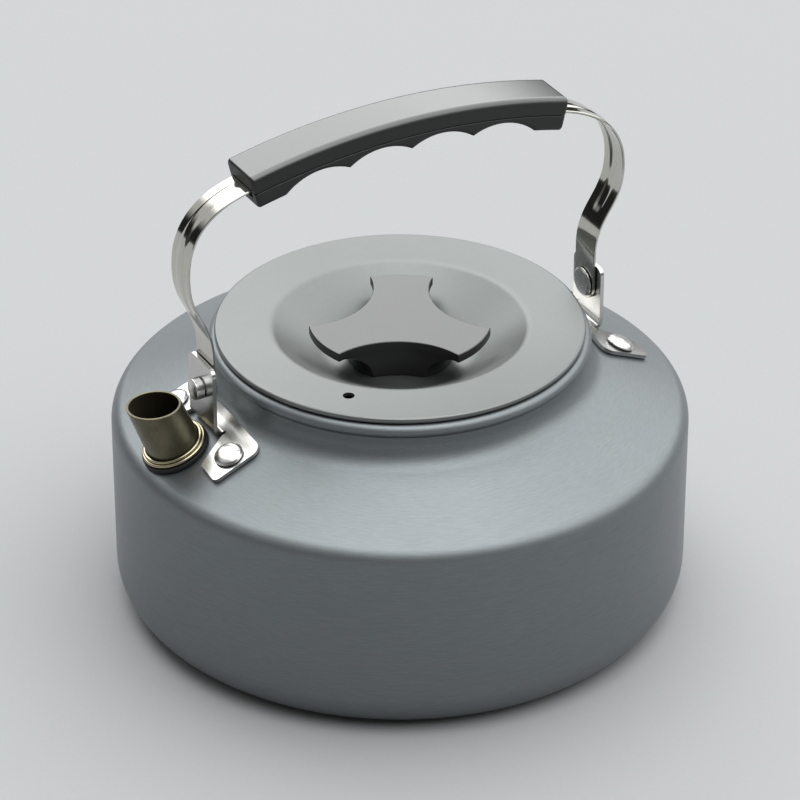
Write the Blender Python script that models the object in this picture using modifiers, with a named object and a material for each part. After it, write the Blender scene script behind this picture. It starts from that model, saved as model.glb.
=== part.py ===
"""Camping kettle: a squat aluminium kettle with a lift-off lid and a folding bail handle.

Frame: metres, +Z up, origin at the centre of the base on the surface it stands on.
The bail stands in the XZ plane, its hinge axis runs along X, and the spout is on the -X side.
"""
import math

import bmesh
import bpy
from mathutils import Matrix, Vector
from mathutils.geometry import interpolate_bezier

MM = 0.001

# Body
BODY_RADIUS = 87.5 * MM
WALL = 1.2 * MM
BASE_FILLET = 12.8 * MM
SHOULDER_EDGE_Z = 62.45 * MM
SHOULDER_EDGE_FILLET = 5.5 * MM
SHOULDER_SLOPE = math.radians(24.4)
NECK_RADIUS = 56.6 * MM
NECK_FILLET = 8.0 * MM
BEAD_RADIUS = 2.1 * MM
NECK_HEIGHT = 11.0 * MM

# Lid
LID_RADIUS = 55.8 * MM
LID_SHEET = 1.1 * MM
LID_FLANGE = 1.8 * MM
LID_EDGE_FILLET = 0.8 * MM
SKIRT_CLEARANCE = 0.5 * MM
SKIRT_DEPTH = 6.5 * MM
RECESS_RADIUS = 38.7 * MM
RECESS_DEPTH = 10.7 * MM
RECESS_FLOOR_RADIUS = 21.0 * MM
RECESS_EDGE_FILLET = 4.0 * MM
RECESS_FLOOR_FILLET = 14.0 * MM
VENT_RADIUS = 1.75 * MM
VENT_CIRCLE = 45.0 * MM
VENT_ANGLE = math.radians(-138.4)

# Knob with three lobes
KNOB_RADIUS = 27.5 * MM
KNOB_HEIGHT = 12.0 * MM
KNOB_PLATE = 2.8 * MM
KNOB_WAIST = 13.5 * MM
KNOB_BITE_RADIUS = 24.0 * MM
KNOB_LOBES = 3
KNOB_TURN = math.radians(180.0)
KNOB_LEDGE = 0.6 * MM
KNOB_SINK = 0.9 * MM
KNOB_FOOT_RADIUS = 16.0 * MM
INSERT_RADIUS = 3.2 * MM
INSERT_LENGTH = 6.5 * MM
SCREW_RADIUS = 1.9 * MM
SCREW_HEAD_RADIUS = 3.7 * MM
SCREW_HEAD_HEIGHT = 2.2 * MM
SCREW_CHAMFER = 0.7 * MM
WASHER_RADIUS = 5.6 * MM
WASHER_THICKNESS = 1.0 * MM

# Spout
SPOUT_FROM_EAR = 8.7 * MM
SPOUT_RADIUS = 7.85 * MM
SPOUT_ROOT_RADIUS = 8.25 * MM
SPOUT_WALL = 0.8 * MM
SPOUT_LENGTH = 18.3 * MM
SPOUT_UPRIGHT = math.radians(2.3)
SPOUT_MOUTH_LEAN = math.radians(3.0)
SPOUT_FLANGE_RADIUS = 10.2 * MM
SPOUT_FLANGE_THICKNESS = 1.0 * MM
COLLAR_RADIUS = 10.0 * MM
COLLAR_LOWER = 1.0 * MM
COLLAR_UPPER = 0.85 * MM
COLLAR_STEP = 0.7 * MM
GASKET_RADIUS = 10.35 * MM
GASKET_THICKNESS = 0.6 * MM

# Handle brackets
BRACKET_SHEET = 1.2 * MM
EAR_FROM_NECK = 10.2 * MM
EAR_WIDTH = 15.8 * MM
EAR_ABOVE_PIVOT_LEFT = 8.5 * MM
EAR_ABOVE_PIVOT_RIGHT = 6.6 * MM
EAR_CORNER = 2.4 * MM
BEND_RADIUS = 1.5 * MM
FOOT_INWARD = 8.5 * MM
FOOT_OUTWARD = 7.0 * MM
FOOT_HALF_WIDTH = 22.6 * MM
FOOT_CORNER = 3.0 * MM
FOOT_OUTER_CORNER = 1.5 * MM
PAD_STEP_CORNER = 1.0 * MM
PAD_INNER_Y = 14.0 * MM
RELIEF_SLIT = 1.2 * MM
FOOT_RIVET_INWARD = 0.5 * MM
FOOT_RIVET_Y = 17.6 * MM
FOOT_RIVET_SHANK = 2.0 * MM
FOOT_RIVET_HEAD = 4.3 * MM
FOOT_RIVET_CROWN = 1.7 * MM
FOOT_RIVET_EDGE_SHARE = 0.6
FOOT_RIVET_TAIL = 3.4 * MM
FOOT_RIVET_TAIL_HEIGHT = 1.3 * MM

# Bail: the strap and its pivots
PIVOT_Z = 86.4 * MM
PIVOT_SHANK = 2.2 * MM
PIVOT_OUTER_HEAD = 3.3 * MM
PIVOT_OUTER_HEIGHT = 3.1 * MM
PIVOT_OUTER_EDGE_SHARE = 0.8
PIVOT_INNER_HEAD = 4.6 * MM
PIVOT_INNER_HEIGHT = 0.8 * MM
STRAP_WIDTH = 10.8 * MM
STRAP_SHEET = 0.8 * MM
STRAP_STRAIGHT = 10.9 * MM
STRAP_BULGE_LEFT = 7.3 * MM
STRAP_BULGE_RIGHT = 9.4 * MM
STRAP_BULGE_Z = 39.8 * MM
STRAP_LOWER_HANDLE = 14.0 * MM
STRAP_UPPER_HANDLE = 13.0 * MM
STRAP_END_TURN = math.radians(75.0)
RIB_HEIGHT = 0.5 * MM
RIB_WIDTH = 4.4 * MM
RIB_START_Z = 22.4 * MM
RIB_FADE = 3.0 * MM

# Grip in two halves round the strap
GRIP_CENTRE_Z = 69.9 * MM
GRIP_ARC_RADIUS = 215.0 * MM
GRIP_HALF_LENGTH = 52.2 * MM
GRIP_WIDTH = 16.4 * MM
GRIP_UPPER_HEIGHT = 5.3 * MM
GRIP_LOWER_HEIGHT = 5.1 * MM
GRIP_TOP_EDGE = 2.0 * MM
GRIP_BOTTOM_EDGE = 1.5 * MM
FINGER_PITCH = 21.0 * MM
FINGER_RADIUS = 18.8 * MM
FINGER_DEPTH = 3.2 * MM
FINGER_COUNT = 4
PEG_RADIUS = 1.5 * MM
PEG_HEIGHT = 3.0 * MM
PEG_ROOT = 2.3 * MM

# Fits
SEAT_GAP = 0.3 * MM
MERGE = 0.00001
CUT_MARGIN = 2.0 * MM

# Roundness
BODY_STEPS = 52
SMALL_STEPS = 20
VENT_STEPS = 24
FLARE_STEPS = 48
FLARE_CUTS = 6
GROOVE_STEPS = 64
BEND_CUTS = 4
FOOT_CUTS = 3
PAD_CUTS = 4
GRIP_CUTS = 12
STRAP_ARC_CUTS = 6
STRAP_UPPER_CUTS = 9
STRAP_LOWER_CUTS = 10
STRAP_END_CUTS = 5
CHORD_ERROR = 0.12 * MM
FINE_ARC = math.radians(45.0)

# Places that follow from the sizes above
SHOULDER_RISE = math.tan(SHOULDER_SLOPE)
NECK_FOOT_Z = SHOULDER_EDGE_Z + (BODY_RADIUS - NECK_RADIUS) * SHOULDER_RISE
BEAD_CENTRE_R = NECK_RADIUS - WALL
BEAD_TOP_Z = NECK_FOOT_Z + NECK_HEIGHT
BEAD_CENTRE_Z = BEAD_TOP_Z - BEAD_RADIUS
LID_SEAT_Z = BEAD_TOP_Z + SEAT_GAP
EAR_OUTER_X = NECK_RADIUS + EAR_FROM_NECK
EAR_INNER_X = EAR_OUTER_X - BRACKET_SHEET
STRAP_X = EAR_INNER_X - SEAT_GAP - STRAP_SHEET / 2
FOOT_RIVET_X = EAR_OUTER_X - FOOT_RIVET_INWARD
SPOUT_X = EAR_OUTER_X + SPOUT_FROM_EAR
PEG_S = FINGER_PITCH * FINGER_COUNT / 2
CHANNEL_HALF_HEIGHT = STRAP_SHEET / 2 + SEAT_GAP
CHANNEL_HALF_WIDTH = STRAP_WIDTH / 2 + SEAT_GAP


def clear_scene():
    """Remove every object that the file starts with."""
    for obj in list(bpy.data.objects):
        bpy.data.objects.remove(obj, do_unlink=True)


def new_collection(name):
    """A collection under the scene's own."""
    collection = bpy.data.collections.new(name)
    bpy.context.scene.collection.children.link(collection)
    return collection


def material(name, colour, roughness, metallic):
    """A Principled material with one colour, roughness and metallic value."""
    mat = bpy.data.materials.new(name)
    mat.use_nodes = True
    shader = mat.node_tree.nodes["Principled BSDF"]
    shader.inputs["Base Color"].default_value = (*colour, 1.0)
    shader.inputs["Roughness"].default_value = roughness
    shader.inputs["Metallic"].default_value = metallic
    return mat


def add_object(name, data, collection, mat=None, parent=None):
    """An object with its data, material and parent, in a collection."""
    obj = bpy.data.objects.new(name, data)
    collection.objects.link(obj)
    if mat:
        data.materials.append(mat)
    obj.parent = parent
    return obj


def add_axis(name, location, collection):
    """An empty that marks a joint's place and carries what moves with it."""
    empty = bpy.data.objects.new(name, None)
    empty.location = location
    collection.objects.link(empty)
    return empty


def shade_round(mesh, angle=math.radians(35.0)):
    """Smooth shading with sharp edges kept past an angle."""
    mesh.shade_smooth()
    mesh.set_sharp_from_angle(angle=angle)


def cutter_only(obj):
    """Keep a cutter out of renders and show it as wire."""
    obj.hide_render = True
    obj.display_type = "WIRE"
    return obj


def boolean(obj, other, operation="DIFFERENCE"):
    """Add a Boolean modifier with the EXACT solver."""
    mod = obj.modifiers.new("Boolean " + other.name, "BOOLEAN")
    mod.operation = operation
    mod.solver = "EXACT"
    mod.object = other


def arc_points(centre, radius, start, end):
    """Points along an arc in a plane, both ends included, true to a small chord error."""
    step = min(2 * math.acos(1.0 - min(CHORD_ERROR / radius, 0.5)), FINE_ARC)
    count = max(2, math.ceil(abs(end - start) / step))
    angles = [start + (end - start) * i / count for i in range(count + 1)]
    return [(centre[0] + radius * math.cos(a), centre[1] + radius * math.sin(a)) for a in angles]


def round_corner(before, corner, after, radius):
    """Points of the arc that rounds one corner of a path."""
    if radius <= 0.0:
        return [tuple(corner)]
    into = (before - corner).normalized()
    out = (after - corner).normalized()
    half = into.angle(out) / 2
    centre = corner + (into + out).normalized() * (radius / math.sin(half))
    first = corner + into * (radius / math.tan(half)) - centre
    last = corner + out * (radius / math.tan(half)) - centre
    start = math.atan2(first.y, first.x)
    turn = math.atan2(first.x * last.y - first.y * last.x, first.dot(last))
    return arc_points(centre, radius, start, start + turn)


def rounded_path(corners, closed=False):
    """A path through (x, y, radius) corners, each rounded by its radius."""
    points = []
    count = len(corners)
    for i, (x, y, radius) in enumerate(corners):
        if not closed and i in (0, count - 1):
            points.append((x, y))
            continue
        before = Vector(corners[i - 1][:2])
        after = Vector(corners[(i + 1) % count][:2])
        points += round_corner(before, Vector((x, y)), after, radius)
    return points


def offset_corners(corners, distance):
    """Corners of an open path moved to its left, with radii to match."""
    moved = []
    for i, (x, y, radius) in enumerate(corners):
        here = Vector((x, y))
        before = Vector(corners[i - 1][:2]) if i else None
        after = Vector(corners[i + 1][:2]) if i < len(corners) - 1 else None
        into = (here - before).normalized() if before else None
        out = (after - here).normalized() if after else into
        into = into or out
        normal = Vector((-into.y - out.y, into.x + out.x)).normalized()
        place = here + normal * (distance / normal.dot(Vector((-into.y, into.x))))
        turns_left = into.x * out.y - into.y * out.x > 0.0
        moved.append((place.x, place.y, radius - distance if turns_left else radius + distance))
    return moved


def turned(name, profile, collection, mat=None, parent=None, closed=False, steps=BODY_STEPS):
    """A turned piece: the profile runs down its outer side, turned about Z."""
    mesh = bpy.data.meshes.new(name)
    edges = [(i, i + 1) for i in range(len(profile) - 1)]
    if closed:
        edges.append((len(profile) - 1, 0))
    mesh.from_pydata([(x, 0.0, z) for x, z in profile], edges, [])
    obj = add_object(name, mesh, collection, mat, parent)
    mod = obj.modifiers.new("Screw", "SCREW")
    mod.axis = "Z"
    mod.steps = steps
    mod.render_steps = steps
    mod.use_merge_vertices = True
    mod.merge_threshold = MERGE
    mod.use_smooth_shade = True
    return obj


def cylinder_mesh(name, radius, z_low, z_high, steps=SMALL_STEPS):
    """A closed cylinder along Z between two heights."""
    mesh = bpy.data.meshes.new(name)
    bm = bmesh.new()
    half_step = Matrix.Rotation(math.pi / steps, 4, "Z")
    place = Matrix.Translation((0.0, 0.0, (z_low + z_high) / 2)) @ half_step
    bmesh.ops.create_cone(bm, cap_ends=True, segments=steps, radius1=radius, radius2=radius,
                          depth=z_high - z_low, matrix=place)
    bm.to_mesh(mesh)
    bm.free()
    shade_round(mesh)
    return mesh


def cylinder_cutter(name, radius, z_low, z_high, collection, frame, steps=SMALL_STEPS):
    """A cylinder that cuts, set in a frame."""
    cutter = add_object(name, cylinder_mesh(name, radius, z_low, z_high, steps), collection)
    cutter.matrix_world = frame
    return cutter_only(cutter)


def outline_mesh(name, points, low, high):
    """A flat outline in XY made solid between two heights."""
    curve = bpy.data.curves.new(name, "CURVE")
    curve.dimensions = "2D"
    curve.fill_mode = "BOTH"
    curve.extrude = (high - low) / 2
    spline = curve.splines.new("POLY")
    spline.points.add(len(points) - 1)
    for point, (x, y) in zip(spline.points, points):
        point.co = (x, y, 0.0, 1.0)
    spline.use_cyclic_u = True
    guide = bpy.data.objects.new(name + "_outline", curve)
    bpy.context.scene.collection.objects.link(guide)
    bpy.context.view_layer.update()
    evaluated = guide.evaluated_get(bpy.context.evaluated_depsgraph_get())
    mesh = bpy.data.meshes.new_from_object(evaluated)
    bpy.data.objects.remove(guide, do_unlink=True)
    bm = bmesh.new()
    bm.from_mesh(mesh)
    bmesh.ops.remove_doubles(bm, verts=bm.verts, dist=MERGE)
    bmesh.ops.dissolve_limit(bm, angle_limit=math.radians(0.5), verts=bm.verts, edges=bm.edges)
    bmesh.ops.translate(bm, verts=bm.verts, vec=(0.0, 0.0, (low + high) / 2))
    bmesh.ops.recalc_face_normals(bm, faces=bm.faces)
    bm.to_mesh(mesh)
    bm.free()
    mesh.name = name
    return mesh


def remap(mesh, cuts, move):
    """Cut a mesh along planes, then move each vertex by a function."""
    bm = bmesh.new()
    bm.from_mesh(mesh)
    for place, normal in cuts:
        everything = bm.verts[:] + bm.edges[:] + bm.faces[:]
        bmesh.ops.bisect_plane(bm, geom=everything, dist=MERGE / 10, plane_co=place, plane_no=normal)
    for vert in bm.verts:
        vert.co = move(vert.co)
    bmesh.ops.triangulate(bm, faces=bm.faces)
    bm.to_mesh(mesh)
    bm.free()
    shade_round(mesh)


def body_corners():
    """Corners of the body's outer side, from the base's centre up to the bead."""
    bead_out = NECK_RADIUS - BEAD_CENTRE_R
    neck_top = BEAD_CENTRE_Z - math.sqrt(BEAD_RADIUS ** 2 - bead_out ** 2)
    return [
        (0.0, 0.0, 0.0),
        (BODY_RADIUS, 0.0, BASE_FILLET),
        (BODY_RADIUS, SHOULDER_EDGE_Z, SHOULDER_EDGE_FILLET),
        (NECK_RADIUS, NECK_FOOT_Z, NECK_FILLET),
        (NECK_RADIUS, neck_top, 0.0),
    ]


def shoulder_surface(radius):
    """Height and outward slope of the shoulder's outer side at a radius."""
    arc_r = NECK_RADIUS + NECK_FILLET
    arc_z = NECK_FOOT_Z + NECK_FILLET * math.tan((math.pi / 2 - SHOULDER_SLOPE) / 2)
    reach = arc_r - radius
    if reach > NECK_FILLET * math.sin(SHOULDER_SLOPE):
        drop = math.sqrt(max(NECK_FILLET ** 2 - reach ** 2, 0.0))
        return arc_z - drop, math.asin(min(reach / NECK_FILLET, 1.0))
    return SHOULDER_EDGE_Z + (BODY_RADIUS - radius) * SHOULDER_RISE, SHOULDER_SLOPE


def shoulder_frame(x, y):
    """A frame on the shoulder's outer side, with Z along its outward normal."""
    radius = math.hypot(x, y)
    height, slope = shoulder_surface(radius)
    turn = Matrix.Rotation(math.atan2(y, x), 4, "Z")
    return turn @ Matrix.Translation((radius, 0.0, height)) @ Matrix.Rotation(slope, 4, "Y")


def on_shoulder(x, y, lift):
    """The point that lies a lift above the shoulder's outer side."""
    return shoulder_frame(x, y) @ Vector((0.0, 0.0, lift))


def build_body(parts, cutters, mat):
    """The drawn body: base, wall, shoulder, neck and the rolled bead at its mouth."""
    outer = body_corners()
    inner = offset_corners(outer, WALL)
    inner[-1] = (BEAD_CENTRE_R, BEAD_CENTRE_Z - BEAD_RADIUS, 0.0)
    meets = -2 * math.pi - math.acos((NECK_RADIUS - BEAD_CENTRE_R) / BEAD_RADIUS)
    bead = arc_points((BEAD_CENTRE_R, BEAD_CENTRE_Z), BEAD_RADIUS, -math.pi / 2, meets)
    profile = rounded_path(inner)[:-1] + bead + rounded_path(outer)[-2::-1]
    body = turned("kettle_body", profile, parts, mat)
    low = -WALL - CUT_MARGIN
    bore = cylinder_cutter("spout_hole", SPOUT_ROOT_RADIUS + SEAT_GAP, low, CUT_MARGIN, cutters,
                           shoulder_frame(-SPOUT_X, 0.0))
    boolean(body, bore)
    for i, (x, y) in enumerate(foot_rivet_places()):
        hole = cylinder_cutter(f"body_rivet_hole_{i + 1}", FOOT_RIVET_SHANK + SEAT_GAP, low,
                               CUT_MARGIN, cutters, shoulder_frame(x, y))
        boolean(body, hole)
    return body


def ring_profile(inner, outer, low, high):
    """A rectangular ring section, run down its outer side."""
    return [(inner, high), (outer, high), (outer, low), (inner, low)]


def spout_frame():
    """The spout's frame: on the shoulder, a little nearer to upright than its normal."""
    return shoulder_frame(-SPOUT_X, 0.0) @ Matrix.Rotation(-SPOUT_UPRIGHT, 4, "Y")


def build_spout(parts, cutters, mats):
    """The spout tube on the shoulder, with its collar and wedge-shaped gasket outside."""
    frame = spout_frame()
    inside = -WALL - SEAT_GAP - SPOUT_FLANGE_RADIUS * math.sin(SPOUT_UPRIGHT)
    foot = inside - SPOUT_FLANGE_THICKNESS
    past_mouth = SPOUT_LENGTH + SPOUT_RADIUS
    taper = (SPOUT_ROOT_RADIUS - SPOUT_RADIUS) / SPOUT_LENGTH
    top_radius = SPOUT_ROOT_RADIUS - taper * past_mouth
    bore = SPOUT_ROOT_RADIUS - SPOUT_WALL
    profile = [(top_radius - SPOUT_WALL, past_mouth), (top_radius, past_mouth),
               (SPOUT_ROOT_RADIUS, 0.0), (SPOUT_ROOT_RADIUS, inside),
               (SPOUT_FLANGE_RADIUS, inside), (SPOUT_FLANGE_RADIUS, foot), (bore, foot), (bore, 0.0)]
    tube = turned("spout_tube", profile, parts, mats["spout"], closed=True, steps=SMALL_STEPS)
    tube.matrix_world = frame
    mouth = Matrix.Translation(frame @ Vector((0.0, 0.0, SPOUT_LENGTH)))
    boolean(tube, block_cutter("spout_mouth_cut", cutters,
                               mouth @ Matrix.Rotation(-SPOUT_MOUTH_LEAN, 4, "Y")))

    rise = GASKET_RADIUS * math.sin(SPOUT_UPRIGHT)
    gasket_top = rise + SEAT_GAP + GASKET_THICKNESS
    clear = SPOUT_ROOT_RADIUS + SEAT_GAP
    gasket = turned("spout_gasket", ring_profile(clear, GASKET_RADIUS, -rise - SEAT_GAP, gasket_top),
                    parts, mats["silicone"], closed=True, steps=SMALL_STEPS)
    gasket.matrix_world = frame
    seat = shoulder_frame(-SPOUT_X, 0.0) @ Matrix.Translation((0.0, 0.0, SEAT_GAP))
    boolean(gasket, block_cutter("gasket_seat_cut", cutters, seat @ Matrix.Rotation(math.pi, 4, "X")))

    collar = turned("spout_collar", collar_profile(clear, gasket_top + SEAT_GAP), parts,
                    mats["collar"], closed=True, steps=SMALL_STEPS)
    collar.matrix_world = frame


def collar_profile(bore, low):
    """The collar's section: a lower bead with a smaller one above it."""
    top = low + COLLAR_LOWER + COLLAR_UPPER
    lower_bead = arc_points((COLLAR_RADIUS - COLLAR_LOWER / 2, low + COLLAR_LOWER / 2),
                            COLLAR_LOWER / 2, math.pi / 2, -math.pi / 2)
    upper_bead = arc_points((COLLAR_RADIUS - COLLAR_STEP - COLLAR_UPPER / 2, top - COLLAR_UPPER / 2),
                            COLLAR_UPPER / 2, math.pi / 2, -math.pi / 2)
    return [(bore, top)] + upper_bead + lower_bead + [(bore, low)]


def block_cutter(name, cutters, frame):
    """A block on a frame's upper side that trims a piece of the spout flat."""
    mesh = bpy.data.meshes.new(name)
    bm = bmesh.new()
    size = 6 * SPOUT_RADIUS
    place = Matrix.Translation((0.0, 0.0, size / 2)) @ Matrix.Scale(size, 4)
    bmesh.ops.create_cube(bm, size=1.0, matrix=place)
    bm.to_mesh(mesh)
    bm.free()
    block = add_object(name, mesh, cutters)
    block.matrix_world = frame
    return cutter_only(block)


def bend_start_x():
    """Where the foot of a bracket ends and its bend begins."""
    mean = BEND_RADIUS + BRACKET_SHEET / 2
    return EAR_OUTER_X - BRACKET_SHEET / 2 - mean * (1.0 + math.sin(SHOULDER_SLOPE))


def bend_arc():
    """Length of the bend along the sheet's middle."""
    mean = BEND_RADIUS + BRACKET_SHEET / 2
    return mean * (math.pi / 2 + SHOULDER_SLOPE)


def fold_bracket(point):
    """Move a point of the flat blank to its place on the folded bracket."""
    lift = SEAT_GAP + BRACKET_SHEET / 2
    start = bend_start_x()
    past = point.x - start
    if past <= 0.0 or abs(point.y) > EAR_WIDTH / 2 + MERGE:
        return on_shoulder(point.x, point.y, lift + point.z)
    base = shoulder_frame(start, point.y)
    centre = base @ Vector((0.0, 0.0, lift + BEND_RADIUS + BRACKET_SHEET / 2))
    radius = BEND_RADIUS + BRACKET_SHEET / 2 - point.z
    turn = min(past / (BEND_RADIUS + BRACKET_SHEET / 2), math.pi / 2 + SHOULDER_SLOPE)
    angle = -math.pi / 2 - SHOULDER_SLOPE + turn
    rise = max(past - bend_arc(), 0.0)
    middle_x = EAR_OUTER_X - BRACKET_SHEET / 2 - BEND_RADIUS - BRACKET_SHEET / 2
    return Vector((middle_x + radius * math.cos(angle), point.y,
                   centre.z + radius * math.sin(angle) + rise))


def bracket_blank(ear_above_pivot):
    """Outline of the flat blank: a foot with two pads and the ear's tongue."""
    inner = EAR_OUTER_X - FOOT_INWARD
    outer = EAR_OUTER_X + FOOT_OUTWARD
    start = bend_start_x()
    neck_z = shoulder_frame(start, 0.0).translation.z
    straight = PIVOT_Z + ear_above_pivot - neck_z - (BEND_RADIUS + BRACKET_SHEET / 2)
    tip = start + bend_arc() + straight
    half = EAR_WIDTH / 2
    slit = half + RELIEF_SLIT
    near = [
        (inner, FOOT_HALF_WIDTH, FOOT_CORNER),
        (outer, FOOT_HALF_WIDTH, FOOT_OUTER_CORNER),
        (outer, PAD_INNER_Y, PAD_STEP_CORNER),
        (start + RELIEF_SLIT, slit, 0.0),
        (start - RELIEF_SLIT / 2, slit, 0.0),
        (start - RELIEF_SLIT / 2, half, 0.0),
        (tip, half, EAR_CORNER),
    ]
    far = [(x, -y, radius) for x, y, radius in reversed(near)]
    return rounded_path(near + far, closed=True)


def bracket_mesh(name, ear_above_pivot):
    """A bracket as it stands on the +X side, folded from its blank."""
    half_sheet = BRACKET_SHEET / 2
    mesh = outline_mesh(name, bracket_blank(ear_above_pivot), -half_sheet, half_sheet)
    start = bend_start_x()
    along = [start + bend_arc() * i / BEND_CUTS for i in range(BEND_CUTS + 1)]
    foot = start - (EAR_OUTER_X - FOOT_INWARD)
    along += [start - foot * i / FOOT_CUTS for i in range(1, FOOT_CUTS)]
    across = [FOOT_HALF_WIDTH * i / PAD_CUTS for i in range(1 - PAD_CUTS, PAD_CUTS)]
    cuts = [((x, 0.0, 0.0), (1.0, 0.0, 0.0)) for x in along]
    cuts += [((0.0, y, 0.0), (0.0, 1.0, 0.0)) for y in across]
    remap(mesh, cuts, fold_bracket)
    return mesh


def foot_rivet_places():
    """Where the four foot rivets stand: two pads on each side."""
    return [(sx * FOOT_RIVET_X, sy * FOOT_RIVET_Y) for sx in (-1, 1) for sy in (-1, 1)]


def pivot_frame(side):
    """A frame on the hinge axis, with Z pointing outwards on one side."""
    turn = Matrix.Rotation(side * math.pi / 2, 4, "Y")
    return Matrix.Translation((0.0, 0.0, PIVOT_Z)) @ turn


def build_brackets(parts, cutters, mats):
    """Both handle brackets, with the rivets that hold them to the shoulder."""
    for side, name, above in ((1, "right", EAR_ABOVE_PIVOT_RIGHT), (-1, "left", EAR_ABOVE_PIVOT_LEFT)):
        bracket = add_object("bracket_" + name, bracket_mesh("bracket_" + name, above), parts,
                             mats["steel"])
        bracket.rotation_euler.z = 0.0 if side > 0 else math.pi
        hole = cylinder_cutter("ear_hole_" + name, PIVOT_SHANK + SEAT_GAP,
                               EAR_INNER_X - SEAT_GAP / 2, EAR_OUTER_X + CUT_MARGIN, cutters,
                               pivot_frame(side))
        boolean(bracket, hole)
        for i, (x, y) in enumerate(foot_rivet_places()):
            if x * side > 0:
                hole = cylinder_cutter(f"pad_hole_{i + 1}", FOOT_RIVET_SHANK + SEAT_GAP, 0.0,
                                       CUT_MARGIN, cutters, shoulder_frame(x, y))
                boolean(bracket, hole)
    seat = 2 * SEAT_GAP + BRACKET_SHEET
    tail = -WALL - SEAT_GAP
    for i, (x, y) in enumerate(foot_rivet_places()):
        rivet = turned(f"foot_rivet_{i + 1}", foot_rivet_profile(seat, tail), parts, mats["rivet"],
                       steps=SMALL_STEPS)
        rivet.matrix_world = shoulder_frame(x, y)


def dome_profile(radius, low, height, edge_share):
    """Outer side of a low domed head, from its crown down to its rim."""
    high = low + height
    crown = height * (1.0 - edge_share)
    ball = (radius ** 2 + crown ** 2) / (2 * crown)
    reach = math.asin(radius / ball)
    dome = arc_points((0.0, high - ball), ball, math.pi / 2, math.pi / 2 - reach)
    return [(0.0, high)] + dome[1:] + [(radius, low)]


def foot_rivet_profile(seat, tail):
    """A rivet: domed head on the pad, shank through the sheets, closed tail inside."""
    head = dome_profile(FOOT_RIVET_HEAD, seat, FOOT_RIVET_CROWN, FOOT_RIVET_EDGE_SHARE)
    foot = tail - FOOT_RIVET_TAIL_HEIGHT
    return head + [(FOOT_RIVET_SHANK, seat), (FOOT_RIVET_SHANK, tail), (FOOT_RIVET_TAIL, tail),
                   (FOOT_RIVET_TAIL, foot + SEAT_GAP), (FOOT_RIVET_TAIL - SEAT_GAP, foot),
                   (0.0, foot)]


def pivot_rivet_profile():
    """A pivot rivet along the hinge axis, from its outer head to its flat inner head."""
    outer = EAR_OUTER_X + SEAT_GAP
    inner = STRAP_X - STRAP_SHEET / 2 - SEAT_GAP
    head = dome_profile(PIVOT_OUTER_HEAD, outer, PIVOT_OUTER_HEIGHT, PIVOT_OUTER_EDGE_SHARE)
    return head + [(PIVOT_SHANK, outer), (PIVOT_SHANK, inner), (PIVOT_INNER_HEAD, inner),
                   (PIVOT_INNER_HEAD, inner - PIVOT_INNER_HEIGHT), (0.0, inner - PIVOT_INNER_HEIGHT)]


def build_pivots(parts, mats):
    """The two rivets that the bail turns on."""
    for side, name in ((1, "right"), (-1, "left")):
        rivet = turned("pivot_rivet_" + name, pivot_rivet_profile(), parts, mats["rivet"],
                       steps=SMALL_STEPS)
        rivet.matrix_world = pivot_frame(side)


def on_grip_arc(along, across, lift):
    """A point of the bent grip: along its arc, across it and above its middle."""
    angle = along / GRIP_ARC_RADIUS
    radius = GRIP_ARC_RADIUS + lift
    return Vector((radius * math.sin(angle), across,
                   GRIP_CENTRE_Z - GRIP_ARC_RADIUS + radius * math.cos(angle)))


def strap_half_path(strap_bulge):
    """Middle of the strap in the bail's plane, from its crown down to its +X end."""
    arc_end = GRIP_HALF_LENGTH + STRAP_SHEET
    path = [on_grip_arc(arc_end * i / STRAP_ARC_CUTS, 0.0, 0.0) for i in range(STRAP_ARC_CUTS + 1)]
    slope = arc_end / GRIP_ARC_RADIUS
    leave = path[-1]
    bulge = Vector((STRAP_X + strap_bulge, 0.0, STRAP_BULGE_Z))
    crease = Vector((STRAP_X, 0.0, STRAP_STRAIGHT))
    outward = leave + Vector((math.cos(slope), 0.0, -math.sin(slope))) * STRAP_UPPER_HANDLE
    path += interpolate_bezier(leave, outward, bulge + Vector((0.0, 0.0, STRAP_UPPER_HANDLE)),
                               bulge, STRAP_UPPER_CUTS)[1:]
    path += interpolate_bezier(bulge, bulge - Vector((0.0, 0.0, STRAP_LOWER_HANDLE)),
                               crease + Vector((0.0, 0.0, STRAP_LOWER_HANDLE)), crease,
                               STRAP_LOWER_CUTS)[1:]
    path.append(Vector((STRAP_X, 0.0, 0.0)))
    turns = [STRAP_END_TURN * i / STRAP_END_CUTS for i in range(1, STRAP_END_CUTS + 1)]
    path += [Vector((STRAP_X, 0.0, -STRAP_WIDTH / 2 * math.sin(turn))) for turn in turns]
    return path


def strap_half_width(point):
    """Half the strap's width: full, and rounded below the pivot."""
    if point.z >= 0.0:
        return STRAP_WIDTH / 2
    return math.sqrt((STRAP_WIDTH / 2) ** 2 - point.z ** 2)


def rib_share(point):
    """How far the pressed rib has risen at a point of the strap, from 0 to 1."""
    share = min(max((point.z - RIB_START_Z) / RIB_FADE, 0.0), 1.0)
    return share * share * (3.0 - 2.0 * share)


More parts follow.
